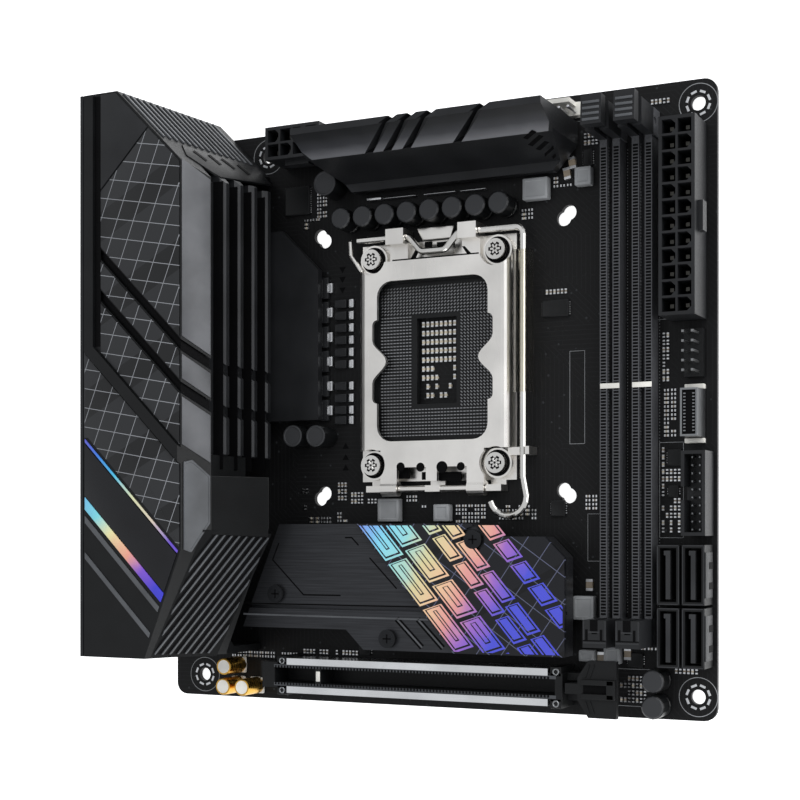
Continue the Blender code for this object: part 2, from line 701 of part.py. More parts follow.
def make_socket():
    """Back plate, socket body, clamp frame and clamp screws."""
    low, high = FLOOR, UNDERSIDE - FIT_GAP
    hole = SCREW_SHANK_DIAMETER + 2 * FIT_GAP
    solid("cpu_backplate", "dark_steel",
          prism(rounded_rectangle(SOCKET_X - BACKPLATE_WIDTH / 2, SOCKET_X + BACKPLATE_WIDTH / 2,
                                  SOCKET_Y - BACKPLATE_LENGTH / 2, SOCKET_Y + BACKPLATE_LENGTH / 2,
                                  BOARD_CORNER_RADIUS), "Z", low, high),
          cuts=[rod(x, y, hole, low - OVERCUT, high + OVERCUT, PIN_SIDES) for x, y in clamp_screws()]
          + [box(SOCKET_X - BACKPLATE_WINDOW / 2, SOCKET_X + BACKPLATE_WINDOW / 2,
                 SOCKET_Y - BACKPLATE_WINDOW / 2,
                 SOCKET_Y + BACKPLATE_WINDOW / 2, low - OVERCUT, high + OVERCUT)])

    def around(width, length, z0, z1):
        return box(SOCKET_X - width / 2, SOCKET_X + width / 2, SOCKET_Y - length / 2, SOCKET_Y + length / 2,
                   z0, z1)

    solid("socket_housing", "black_plastic",
          around(SOCKET_WIDTH, SOCKET_LENGTH, FIT_GAP, SOCKET_RIM_HEIGHT),
          cuts=[around(SOCKET_SEAT_WIDTH, SOCKET_SEAT_LENGTH, SOCKET_SEAT_HEIGHT,
                       SOCKET_RIM_HEIGHT + OVERCUT),
                around(SOCKET_WELL_WIDTH, SOCKET_WELL_LENGTH, FIT_GAP - OVERCUT,
                       SOCKET_SEAT_HEIGHT + OVERCUT)])

    inner_w, inner_l = SOCKET_WIDTH + 2 * FIT_GAP, SOCKET_LENGTH + 2 * FIT_GAP
    frame_top = FIT_GAP + FRAME_THICKNESS
    outer_w, outer_l = inner_w + 2 * FRAME_SIDE_BAR, inner_l + 2 * FRAME_END_BAR
    joins = []
    for x, y in clamp_screws():
        joins.append(rod(x, y, EAR_SIZE, FIT_GAP, EAR_HEIGHT))
    tab_cuts = [rod(x, y, hole, FIT_GAP - OVERCUT, EAR_HEIGHT + OVERCUT, PIN_SIDES)
                for x, y in clamp_screws()]
    tab_cuts.append(around(inner_w, inner_l, FIT_GAP - OVERCUT, EAR_HEIGHT + OVERCUT))
    loop = LEVER_DIAMETER + 2 * FIT_GAP
    loop_outer = loop + 2 * CLAMP_TAB_WALL
    for side in (-1, 1):
        x = SOCKET_X + side * CLAMP_TAB_SPAN / 2
        joins.append(box(x - CLAMP_TAB_WIDTH / 2, x + CLAMP_TAB_WIDTH / 2, SOCKET_Y + inner_l / 2 + OVERCUT,
                         LEVER_Y + loop_outer / 2, FIT_GAP, LEVER_HEIGHT + loop_outer / 2))
        tab_cuts.append(box(x - CLAMP_TAB_WIDTH / 2 - OVERCUT, x + CLAMP_TAB_WIDTH / 2 + OVERCUT,
                            SOCKET_Y, LEVER_Y - loop_outer / 2, EAR_HEIGHT, LEVER_HEIGHT + loop_outer))
    axle = prism(circle(LEVER_Y, LEVER_HEIGHT, loop, PIN_SIDES), "X", SOCKET_X - outer_w,
                 SOCKET_X + outer_w)
    tab_cuts.append(axle)
    bar = HINGE_BAR_DIAMETER / 2
    half = KNUCKLE_WIDTH / 2 - FIT_GAP
    for x in (SOCKET_X - KNUCKLE_SPAN / 2 - KNUCKLE_WIDTH, SOCKET_X,
              SOCKET_X + KNUCKLE_SPAN / 2 + KNUCKLE_WIDTH):
        joins.append(box(x - half, x + half, HINGE_Y - bar, SOCKET_Y - outer_l / 2 + OVERCUT, FIT_GAP,
                         frame_top))
        joins.append(box(x - half, x + half, HINGE_Y - bar, HINGE_Y + bar, FIT_GAP, HINGE_HEIGHT + bar))
    reach = KNUCKLE_SPAN / 2 + KNUCKLE_WIDTH
    joins.append(prism(circle(HINGE_Y, HINGE_HEIGHT, HINGE_BAR_DIAMETER, PIN_SIDES), "X", SOCKET_X - reach,
                       SOCKET_X + reach))
    catch_y = LEVER_Y - CATCH_FROM_AXLE
    shelf = LEVER_HEIGHT - LEVER_DIAMETER / 2 - FIT_GAP
    joins.append(box(SOCKET_X + inner_w / 2 + OVERCUT, LEVER_X + LEVER_DIAMETER, catch_y - CATCH_LENGTH / 2,
                     catch_y + CATCH_LENGTH / 2, FIT_GAP, shelf))
    joins.append(box(LEVER_X + LEVER_DIAMETER / 2 + FIT_GAP,
                     LEVER_X + LEVER_DIAMETER / 2 + FIT_GAP + FRAME_THICKNESS,
                     catch_y - CATCH_LENGTH / 2, catch_y + CATCH_LENGTH / 2, FIT_GAP,
                     LEVER_HEIGHT + LEVER_DIAMETER))
    solid("clamp_frame", "nickel_steel", around(outer_w, outer_l, FIT_GAP, frame_top), joins=joins,
          cuts=tab_cuts)

    seat = EAR_HEIGHT + FIT_GAP
    for number, (x, y) in enumerate(clamp_screws(), 1):
        head = rod(x, y, SCREW_HEAD_DIAMETER, seat, seat + SCREW_HEAD_HEIGHT)
        shank = rod(x, y, SCREW_SHANK_DIAMETER, FLOOR + FIT_GAP, seat + SCREW_HEAD_HEIGHT / 2, PIN_SIDES)
        recess = rod(x, y, SCREW_DRIVE, seat + SCREW_HEAD_HEIGHT / 2, seat + SCREW_HEAD_HEIGHT + OVERCUT,
                     HEX_SIDES)
        solid("clamp_screw_%d" % number, "bright_steel", head, joins=[shank], cuts=[recess], smooth=True)


def make_load_plate():
    """Hinged plate that presses on the processor's edges, with its hinge knuckles."""
    half, radius, top = PLATE_WIDTH / 2, PLATE_EDGE_RADIUS, PLATE_HEIGHT + PLATE_THICKNESS
    arc = [math.pi / 2 * i / PLATE_EDGE_STEPS for i in range(PLATE_EDGE_STEPS + 1)]
    outer = [(half - radius + radius * math.cos(a), top - radius + radius * math.sin(a)) for a in arc]
    inner_r = radius - PLATE_THICKNESS
    inner = [(half - radius + inner_r * math.cos(a), top - radius + inner_r * math.sin(a)) for a in arc]
    section = outer + [(-x, z) for x, z in reversed(outer)] + [(-x, z) for x, z in inner]
    section += [(x, z) for x, z in reversed(inner)]
    north = SOCKET_Y + PLATE_NORTH_REACH
    south = north - PLATE_LENGTH
    sheet = prism([(SOCKET_X + x, z) for x, z in section], "Y", south, north)

    hub = KNUCKLE_DIAMETER / 2
    outside = (KNUCKLE_SPAN + KNUCKLE_WIDTH) / 2
    joins = [box(SOCKET_X - outside, SOCKET_X + outside, south - APRON_LENGTH, south + OVERCUT,
                 PLATE_HEIGHT, top),
             box(SOCKET_X - TONGUE_WIDTH / 2, SOCKET_X + TONGUE_WIDTH / 2, south - TONGUE_LENGTH, south,
                 PLATE_HEIGHT,
                 top)]
    for side in (-1, 1):
        x = SOCKET_X + side * KNUCKLE_SPAN / 2
        x0, x1 = x - KNUCKLE_WIDTH / 2, x + KNUCKLE_WIDTH / 2
        joins.append(box(x0, x1, HINGE_Y, south + OVERCUT, PLATE_HEIGHT, top))
        joins.append(prism(circle(HINGE_Y, HINGE_HEIGHT, 2 * hub, BORE_SIDES), "X", x0, x1))
    low, high = PLATE_HEIGHT - radius, top + OVERCUT
    wide = WINDOW_WIDTH / 2 + WINDOW_LOBE
    cuts = [prism(rounded_rectangle(SOCKET_X - WINDOW_WIDTH / 2, SOCKET_X + WINDOW_WIDTH / 2,
                                    SOCKET_Y - WINDOW_LENGTH / 2, SOCKET_Y + WINDOW_LENGTH / 2,
                                    WINDOW_CORNER_RADIUS), "Z", low, high),
            prism(rounded_rectangle(SOCKET_X - wide, SOCKET_X + wide, SOCKET_Y - WINDOW_LOBE_LENGTH / 2,
                                    SOCKET_Y + WINDOW_LOBE_LENGTH / 2, WINDOW_LOBE), "Z", low, high),
            prism(circle(HINGE_Y, HINGE_HEIGHT, HINGE_BAR_DIAMETER + 2 * FIT_GAP, PIN_SIDES), "X",
                  SOCKET_X - PLATE_WIDTH, SOCKET_X + PLATE_WIDTH)]
    cuts += [rod(x, y, EAR_SIZE + 2 * FIT_GAP, FIT_GAP, high) for x, y in clamp_screws()]
    tabs = []
    for side in (-1, 1):
        root = SOCKET_X + side * (wide + OVERCUT)
        outline = [(root, SOCKET_Y - WINDOW_TAB_LENGTH / 2), (root, SOCKET_Y + WINDOW_TAB_LENGTH / 2)]
        for number in range(TAB_STEPS + 1):
            turn = math.pi * (1 - 2 * number / TAB_STEPS)
            reach = WINDOW_TAB_DEPTH * (1 + math.cos(turn)) / 2
            outline.append((SOCKET_X + side * (wide - reach),
                            SOCKET_Y + turn / math.pi * WINDOW_TAB_LENGTH / 2))
        tabs.append(prism(outline, "Z", PLATE_HEIGHT, top))
    solid("load_plate", "nickel_steel", sheet, joins=joins, cuts=cuts, inserts=tabs,
          pivot=(SOCKET_X, HINGE_Y, HINGE_HEIGHT))


def make_load_lever():
    """Bent wire lever with a crank in its axle, and the clear sleeve on its arm."""
    pivot = Vector((SOCKET_X, LEVER_Y, LEVER_HEIGHT))
    tip = LEVER_Y - LEVER_ARM_LENGTH
    corners = [(SOCKET_X - LEVER_LEFT_REACH, LEVER_Y), (SOCKET_X - CRANK_WIDTH / 2 - CRANK_SLOPE, LEVER_Y),
               (SOCKET_X - CRANK_WIDTH / 2, LEVER_Y - CRANK_DEPTH),
               (SOCKET_X + CRANK_WIDTH / 2, LEVER_Y - CRANK_DEPTH),
               (SOCKET_X + CRANK_WIDTH / 2 + CRANK_SLOPE, LEVER_Y), (LEVER_X, LEVER_Y),
               (LEVER_X, tip + 2 * LEVER_HOOK_RADIUS)]
    path = rounded_path([Vector((x, y, LEVER_HEIGHT)) for x, y in corners], LEVER_BEND_RADIUS)
    middle = Vector((LEVER_X + LEVER_HOOK_BOW - LEVER_HOOK_RADIUS, tip + LEVER_HOOK_RADIUS, LEVER_HEIGHT))
    for number in range(HOOK_STEPS + 1):
        turn = LEVER_HOOK_TURN * number / HOOK_STEPS
        path.append(middle + LEVER_HOOK_RADIUS * Vector((math.cos(turn), -math.sin(turn), 0)))
    solid("load_lever", "bright_steel", wire(path, LEVER_DIAMETER), pivot=pivot, smooth=True)

    y1 = LEVER_Y - SLEEVE_FROM_AXLE
    y0 = y1 - SLEEVE_LENGTH
    bore = LEVER_DIAMETER + 2 * FIT_GAP
    section = rounded_rectangle(LEVER_X - SLEEVE_WIDTH / 2, LEVER_X + SLEEVE_WIDTH / 2,
                                LEVER_HEIGHT - SLEEVE_HEIGHT / 2, LEVER_HEIGHT + SLEEVE_HEIGHT / 2,
                                CLAMP_TAB_WALL, SLEEVE_STEPS)
    solid("lever_sleeve", "clear_plastic", prism(section, "Y", y0, y1),
          cuts=[prism(circle(LEVER_X, LEVER_HEIGHT, bore, BORE_SIDES), "Y", y0 - OVERCUT, y1 + OVERCUT)],
          pivot=pivot)


def make_memory_slot(letter):
    """One memory slot with its fixed end, and the latch that swings at its other end."""
    x = DIMM_X[letter]
    half, tower, blade = DIMM_WIDTH / 2, TOWER_WIDTH / 2, LATCH_BLADE / 2
    groove, channel = DIMM_GROOVE_WIDTH / 2, LATCH_BLADE / 2 + FIT_GAP
    wall = CLAMP_TAB_WALL
    floor = DIMM_HEIGHT - DIMM_GROOVE_DEPTH
    key = DIMM_SOUTH + DIMM_KEY_FROM_END
    top = STOP_HEIGHT + OVERCUT
    north = DIMM_NORTH + TOWER_LENGTH
    joins = [box(x - tower, x + tower, DIMM_NORTH, north, FIT_GAP, TOWER_HEIGHT),
             box(x - tower, x + tower, DIMM_SOUTH - TOWER_LENGTH, DIMM_SOUTH, FIT_GAP, STOP_HEIGHT)]
    joins += [peg(*spot) for spot in dimm_pegs(x)]
    pin = LATCH_PIVOT_DIAMETER + 2 * FIT_GAP
    cuts = [box(x - groove, x + groove, DIMM_SOUTH - TOWER_LENGTH / 2, key - DIMM_KEY_LENGTH / 2, floor,
                top),
            box(x - groove, x + groove, key + DIMM_KEY_LENGTH / 2, DIMM_NORTH + 2 * wall, floor, top),
            box(x - channel, x + channel, DIMM_NORTH + wall, north + OVERCUT, FIT_GAP + wall, top),
            prism(circle(LATCH_Y, LATCH_PIVOT_HEIGHT, pin, PIN_SIDES), "X", x - DIMM_WIDTH, x + DIMM_WIDTH)]
    body = box(x - half, x + half, DIMM_SOUTH - OVERCUT, DIMM_NORTH + OVERCUT, FIT_GAP, DIMM_HEIGHT)
    solid("dimm_slot_" + letter, "grey_plastic", body, joins=joins, cuts=cuts)

    heel, toe = DIMM_NORTH + wall + FIT_GAP, DIMM_NORTH + wall + LATCH_LENGTH
    high = LATCH_HEIGHT - LATCH_GRIP_HEIGHT / 2
    bend, low = LATCH_PIVOT_HEIGHT + LATCH_FOOT, LATCH_PIVOT_HEIGHT - LATCH_FOOT
    arm = prism([(LATCH_Y - LATCH_FOOT, low), (LATCH_Y + LATCH_FOOT, low), (toe, bend), (toe, high),
                 (heel, high), (heel, bend)], "X", x - blade, x + blade)
    grip_low = LATCH_HEIGHT - LATCH_GRIP_HEIGHT
    side = [(heel - wall, grip_low), (heel - wall + LATCH_GRIP_LENGTH, grip_low),
            (heel - wall + LATCH_GRIP_LENGTH, LATCH_HEIGHT - wall / 2), (heel, LATCH_HEIGHT),
            (heel - wall, LATCH_HEIGHT)]
    grip = prism(side, "X", x - half, x + half)
    stub = tower - FIT_GAP
    trunnion = prism(circle(LATCH_Y, LATCH_PIVOT_HEIGHT, LATCH_PIVOT_DIAMETER, PIN_SIDES), "X", x - stub,
                     x + stub)
    solid("dimm_latch_" + letter, "grey_plastic", arm, joins=[grip, trunnion],
          pivot=(x, LATCH_Y, LATCH_PIVOT_HEIGHT))


def make_expansion_slot():
    """Slot body, its two steel rails and the swinging card latch."""
    half, groove = PCIE_WIDTH / 2, PCIE_GROOVE_WIDTH / 2
    key = PCIE_WEST + PCIE_KEY_FROM_REAR
    floor, top = PCIE_HEIGHT - PCIE_GROOVE_DEPTH, PCIE_HEIGHT + OVERCUT
    end = POWER_PITCH
    post_end = PCIE_EAST + PCIE_POST_LENGTH
    neck = PCIE_LATCH_NECK / 2
    post_top = PCIE_LATCH_PIVOT_HEIGHT + PCIE_POST_LENGTH / 2
    pin = LATCH_PIVOT_DIAMETER
    joins = [box(PCIE_EAST - OVERCUT, post_end, PCIE_Y - half, PCIE_Y + half, FIT_GAP, post_top)]
    joins += [peg(*spot) for spot in pcie_pegs()]
    slit = neck - PCIE_POST_WALL
    cuts = [box(PCIE_WEST + end, key - PCIE_KEY_LENGTH / 2, PCIE_Y - groove, PCIE_Y + groove, floor, top),
            box(key + PCIE_KEY_LENGTH / 2, PCIE_EAST - end / 2, PCIE_Y - groove, PCIE_Y + groove, floor,
                top),
            box(PCIE_EAST, post_end + OVERCUT, PCIE_Y - slit - FIT_GAP, PCIE_Y + slit + FIT_GAP,
                FIT_GAP + OVERCUT,
                top),
            prism([(PCIE_PIVOT_X + px, PCIE_LATCH_PIVOT_HEIGHT + pz)
                   for px, pz in circle(0, 0, pin + 2 * FIT_GAP, PIN_SIDES)],
                  "Y", PCIE_Y - PCIE_WIDTH, PCIE_Y + PCIE_WIDTH)]
    solid("pcie_slot_body", "black_plastic",
          box(PCIE_WEST, PCIE_EAST, PCIE_Y - half, PCIE_Y + half, FIT_GAP, PCIE_HEIGHT), joins=joins,
          cuts=cuts)

    middle = (PCIE_WEST + PCIE_EAST) / 2 + PCIE_RAIL_SHIFT
    x0, x1 = middle - PCIE_RAIL_LENGTH / 2, middle + PCIE_RAIL_LENGTH / 2
    for name, side in (("pcie_rail_north", 1), ("pcie_rail_south", -1)):
        inner, outer = half + FIT_GAP, half + FIT_GAP + PCIE_RAIL_THICKNESS
        lip, over = inner - PCIE_RAIL_LIP, PCIE_HEIGHT + FIT_GAP
        section = [(inner, FIT_GAP), (outer, FIT_GAP), (outer, over + PCIE_RAIL_THICKNESS / 2),
                   (lip, over + PCIE_RAIL_THICKNESS / 2), (lip, over), (inner, over)]
        solid(name, "bright_steel", prism([(PCIE_Y + side * y, z) for y, z in section], "X", x0, x1))

    paddle_low = PCIE_LATCH_TOP - PCIE_LATCH_THICKNESS
    start = post_end - FIT_GAP
    back = PCIE_PIVOT_X - PCIE_LATCH_ARM / 2
    arm = box(back, PCIE_PIVOT_X + PCIE_LATCH_ARM / 2, PCIE_Y - slit, PCIE_Y + slit,
              PCIE_LATCH_PIVOT_HEIGHT - PCIE_LATCH_ARM / 2, PCIE_LATCH_TOP)
    wide = PCIE_LATCH_WIDTH / 2
    paddle = prism([(start, PCIE_Y - neck), (start + neck, PCIE_Y - wide),
                    (start + PCIE_LATCH_LENGTH, PCIE_Y - wide),
                    (start + PCIE_LATCH_LENGTH, PCIE_Y + wide), (start + neck, PCIE_Y + wide),
                    (start, PCIE_Y + neck)],
                   "Z", paddle_low, PCIE_LATCH_TOP)
    bridge = box(back, start + neck, PCIE_Y - slit, PCIE_Y + slit, paddle_low, PCIE_LATCH_TOP)
    trunnion = prism([(PCIE_PIVOT_X + px, PCIE_LATCH_PIVOT_HEIGHT + pz)
                      for px, pz in circle(0, 0, pin, PIN_SIDES)], "Y",
                     PCIE_Y - half + FIT_GAP, PCIE_Y + half - FIT_GAP)
    solid("pcie_latch", "black_plastic", arm, joins=[paddle, bridge, trunnion],
          pivot=(PCIE_PIVOT_X, PCIE_Y, PCIE_LATCH_PIVOT_HEIGHT))


def make_power_plug(name, footprint, ledge_side):
    """Power plug: a housing with a grid of cells, and the pins that stand in them on one wafer."""
    x0, x1, y0, y1 = footprint
    columns = round((x1 - x0 - 2 * POWER_WALL) / POWER_PITCH)
    rows = round((y1 - y0 - 2 * POWER_WALL) / POWER_PITCH)
    centres = [(x0 + POWER_WALL + POWER_PITCH * (i + 0.5), y0 + POWER_WALL + POWER_PITCH * (j + 0.5))
               for i in range(columns) for j in range(rows)]
    low = FIT_GAP + POWER_WAFER + FIT_GAP
    cell, pin = POWER_CELL / 2, POWER_PIN / 2
    middle_x, middle_y, wide = (x0 + x1) / 2, (y0 + y1) / 2, POWER_LEDGE_WIDTH / 2
    z0, z1 = POWER_LEDGE_TOP - POWER_LEDGE_HEIGHT, POWER_LEDGE_TOP
    if ledge_side == "front":
        ledge = box(x1 - POWER_WALL / 2, x1 + POWER_LEDGE_DEPTH, middle_y - wide, middle_y + wide, z0, z1)
    else:
        ledge = box(middle_x - wide, middle_x + wide, y0 - POWER_LEDGE_DEPTH, y0 + POWER_WALL / 2, z0, z1)
    solid(name + "_housing", "grey_plastic", box(x0, x1, y0, y1, low, POWER_HEIGHT), joins=[ledge],
          cuts=[box(x - cell, x + cell, y - cell, y + cell, low - OVERCUT, POWER_HEIGHT + OVERCUT)
                for x, y in centres])
    pins = [box(x - pin, x + pin, y - pin, y + pin, FIT_GAP + POWER_WAFER / 2, POWER_PIN_HEIGHT)
            for x, y in centres]
    solid(name + "_pins", "gold_plate", box(x0, x1, y0, y1, FIT_GAP, FIT_GAP + POWER_WAFER),
          joins=pins + [peg(*spot) for spot in power_pegs(*footprint)])


def make_front_headers():
    """Storage ports, front panel plugs and the fan header."""
    number = 0
    for row in (1, 0):
        for column in (1, 0):
            number += 1
            x, y = SATA_X - column * SATA_PITCH_X, SATA_Y + row * SATA_PITCH_Y
            w, l = SATA_WIDTH / 2, SATA_LENGTH / 2
            iw, il, blade = w - SATA_WALL, l - SATA_WALL, SATA_BLADE / 2
            low = SATA_HEIGHT - SATA_CAVITY_DEPTH
            stem = box(x - blade, x + blade, y - il + blade, y + il - blade, low - OVERCUT,
                       SATA_HEIGHT - OVERCUT)
            hook = box(x - iw / 2, x + blade, y + il - 3 * blade, y + il - blade, low - OVERCUT,
                       SATA_HEIGHT - OVERCUT)
            solid("sata_port_%d" % number, "grey_plastic",
                  box(x - w, x + w, y - l, y + l, FIT_GAP, SATA_HEIGHT),
                  cuts=[box(x - iw, x + iw, y - il, y + il, low, SATA_HEIGHT + OVERCUT)],
                  inserts=[stem, hook])

    x1 = EAST - USB3_FROM_FRONT
    x0, y0, y1 = x1 - USB3_WIDTH, USB3_SOUTH, USB3_SOUTH + USB3_LENGTH
    wall, deep = USB3_WALL, USB3_HEIGHT - SATA_CAVITY_DEPTH
    solid("usb3_header", "grey_plastic", box(x0, x1, y0, y1, FIT_GAP, USB3_HEIGHT),
          cuts=[box(x0 + wall, x1 - wall, y0 + wall, y1 - wall, deep, USB3_HEIGHT + OVERCUT),
                box(x0 - OVERCUT, x0 + 2 * wall, (y0 + y1) / 2 - 2 * wall, (y0 + y1) / 2 + 2 * wall, deep,
                    USB3_HEIGHT + OVERCUT)])

    x1 = EAST - USBC_FROM_FRONT
    x0, y0, y1 = x1 - USBC_WIDTH, USBC_SOUTH, USBC_SOUTH + USBC_LENGTH
    wall, middle = USBC_WALL, (x0 + x1) / 2
    deep = USBC_HEIGHT - SATA_CAVITY_DEPTH
    solid("usb_c_header", "bright_steel", box(x0, x1, y0, y1, FIT_GAP, USBC_HEIGHT),
          cuts=[box(x0 + wall, x1 - wall, y0 + wall, y1 - wall, deep, USBC_HEIGHT + OVERCUT)],
          inserts=[box(middle - USBC_TONGUE / 2, middle + USBC_TONGUE / 2, y0 + 3 * wall, y1 - 3 * wall,
                       deep - OVERCUT,
                       USBC_HEIGHT - OVERCUT)])

    x1 = EAST - PANEL_FROM_FRONT
    x0, y0 = x1 - PANEL_COLUMNS * PANEL_PITCH, PANEL_SOUTH
    y1, pin = y0 + PANEL_ROWS * PANEL_PITCH, PANEL_PIN / 2
    pins = []
    for i in range(PANEL_COLUMNS):
        for j in range(PANEL_ROWS):
            x, y = x0 + PANEL_PITCH * (i + 0.5), y0 + PANEL_PITCH * (j + 0.5)
            pins.append(box(x - pin, x + pin, y - pin, y + pin, FIT_GAP + pin, PANEL_PIN_HEIGHT))
    solid("front_panel_header", "black_plastic", box(x0, x1, y0, y1, FIT_GAP, PANEL_BASE_HEIGHT),
          joins=pins)

    x1, y1 = EAST - FAN_FROM_FRONT, NORTH - FAN_FROM_NORTH
    x0, y0 = x1 - FAN_WIDTH, y1 - FAN_DEPTH
    solid("fan_header", "white_plastic", box(x0, x1, y0, y1, FIT_GAP, FAN_BASE_HEIGHT),
          joins=[box(x0 + FAN_WALL, x1 - FAN_WALL, y1 - FAN_WALL, y1, FIT_GAP + FAN_WALL, FAN_HEIGHT)])


def make_capacitor(name, x, y):
    """Can capacitor turned from one profile, with a pressed groove near its foot and a rounded top."""
    r, bevel, groove = CAP_DIAMETER / 2, CAP_TOP_BEVEL, CAP_GROOVE_DEPTH
    foot = FIT_GAP + CAP_GROOVE_HEIGHT
    profile = [(0, FIT_GAP), (r, FIT_GAP), (r, foot), (r - groove, foot + groove), (r, foot + 2 * groove),
               (r, CAP_HEIGHT - bevel), (r - bevel, CAP_HEIGHT), (0, CAP_HEIGHT)]
    shape = bmesh.new()
    points = [shape.verts.new((px, 0, pz)) for px, pz in profile]
    edges = [shape.edges.new(pair) for pair in zip(points, points[1:])]
    bmesh.ops.spin(shape, geom=points + edges, cent=(0, 0, 0), axis=(0, 0, 1), angle=2 * math.pi, steps=16,
                   use_merge=True)
    bmesh.ops.remove_doubles(shape, verts=shape.verts, dist=1e-6)
    bmesh.ops.recalc_face_normals(shape, faces=shape.faces)
    bmesh.ops.translate(shape, vec=(x, y, 0), verts=shape.verts)
    solid(name, "capacitor_black", shape, smooth=True)


def make_capacitors():
    """Row between socket and heatsink, and pair in the front corner."""
    start = SOCKET_X + CAP_ROW_OFFSET_X - CAP_ROW_PITCH * (CAP_ROW_COUNT - 1) / 2
    for i in range(CAP_ROW_COUNT):
        make_capacitor("capacitor_row_%d" % (i + 1), start + i * CAP_ROW_PITCH,
                       SOCKET_Y + CAP_ROW_FROM_SOCKET)
    for i in range(2):
        make_capacitor("capacitor_front_%d" % (i + 1), EAST - CAP_FRONT_FROM_EDGE,
                       SOUTH + CAP_FRONT_FROM_SOUTH + i * CAP_FRONT_PITCH)


def port_block(name, rear=None):
    """Block of one rear port with its pegs, and the middle of its face."""
    depth, south, width, height = port_places()[name]
    start = PORT_FACE if rear is None else rear
    block = box(start, PORT_FACE + depth, south, south + width, FIT_GAP, height)
    return block, [peg(*spot) for spot in port_pegs(name)], south + width / 2, height


def mouth(y, z, width, height, depth):
    """Cut for a port's opening in the rear face."""
    return box(PORT_FACE - OVERCUT, PORT_FACE + depth, y - width / 2, y + width / 2, z - height / 2,
               z + height / 2)


def tongue(y, z, width, height, depth):
    """Contact tongue that stands in an opening, fixed to its inner end."""
    return box(PORT_FACE + PORT_BEHIND_SHIELD, PORT_FACE + depth + OVERCUT, y - width / 2, y + width / 2,
               z - height / 2, z + height / 2)


def make_rear_ports():
    """Port blocks along the rear edge, and the push button beside them."""
    block, pegs, y, height = port_block("audio_jacks")
    bores = []
    for sy in (-1, 1):
        for sz in (-1, 1):
            spot = circle(y + sy * AUDIO_PITCH / 2, height / 2 + sz * AUDIO_PITCH / 2, AUDIO_BORE, BORE_SIDES)
            bores.append(prism(spot, "X", PORT_FACE - OVERCUT, PORT_FACE + AUDIO_BORE_DEPTH))
    solid("audio_jacks", "black_plastic", block, joins=pegs, cuts=bores)

    block, pegs, y, height = port_block("wifi_module", SHIELD_INNER + FIT_GAP)
    jacks = [prism(circle(y, height / 2 + sz * WIFI_JACK_PITCH / 2, WIFI_JACK_DIAMETER), "X", REAR_MOST,
                   SHIELD_INNER + OVERCUT) for sz in (-1, 1)]
    bores = [prism(circle(y, height / 2 + sz * WIFI_JACK_PITCH / 2, AUDIO_BORE, BORE_SIDES), "X",
                   REAR_MOST - OVERCUT,
                   SHIELD_INNER) for sz in (-1, 1)]
    solid("wifi_module", "gold_plate", block, joins=pegs + jacks, cuts=bores)

    block, pegs, y, height = port_block("lan_usb_stack")
    levels = [USB_PITCH * (i + 0.5) + PORT_WALL for i in range(2)]
    jack = height - 2 * PORT_WALL - LAN_JACK_HEIGHT / 2
    solid("lan_usb_stack", "bright_steel", block, joins=pegs,
          cuts=[mouth(y, jack, LAN_JACK_WIDTH, LAN_JACK_HEIGHT, LAN_JACK_DEPTH)]
          + [mouth(y, z, USB_MOUTH_WIDTH, USB_MOUTH_HEIGHT, USB_MOUTH_DEPTH) for z in levels],
          inserts=[tongue(y, z, LAN_JACK_WIDTH - 2 * PORT_WALL, USB_TONGUE, USB_MOUTH_DEPTH)
                   for z in levels])

    for name in ("usb_stack_1", "usb_stack_2"):
        block, pegs, y, height = port_block(name)
        levels = [height / 2 + i * USB_PITCH for i in (-1, 0, 1)]
        solid(name, "bright_steel", block, joins=pegs,
              cuts=[mouth(y, z, USB_MOUTH_WIDTH, USB_MOUTH_HEIGHT, USB_MOUTH_DEPTH) for z in levels],
              inserts=[tongue(y, z, LAN_JACK_WIDTH - 2 * PORT_WALL, USB_TONGUE, USB_MOUTH_DEPTH)
                       for z in levels])

    block, pegs, y, height = port_block("display_stack")
    levels = [height / 2 + side * DISPLAY_PITCH / 2 for side in (-1, 1)]
    solid("display_stack", "bright_steel", block, joins=pegs,
          cuts=[mouth(y, z, DISPLAY_MOUTH_WIDTH, DISPLAY_MOUTH_HEIGHT, DISPLAY_MOUTH_DEPTH)
                for z in levels],
          inserts=[tongue(y, z, DISPLAY_MOUTH_WIDTH - 4 * PORT_WALL, DISPLAY_TONGUE, DISPLAY_MOUTH_DEPTH)
                   for z in levels])

    block, pegs, y, height = port_block("reset_switch", SHIELD_INNER + FIT_GAP)
    front = SHIELD_OUTER - BUTTON_STAND - BUTTON_TRAVEL
    back = front + BUTTON_LENGTH
    bore = prism(circle(y, BUTTON_HEIGHT, BUTTON_DIAMETER + 2 * FIT_GAP), "X", SHIELD_OUTER,
                 back + BUTTON_TRAVEL + FIT_GAP)
    solid("reset_switch", "black_plastic", block, joins=pegs, cuts=[bore])
    solid("reset_button", "black_plastic",
          prism(circle(y, BUTTON_HEIGHT, BUTTON_DIAMETER), "X", front, back),
          pivot=(front, y, BUTTON_HEIGHT), smooth=True)


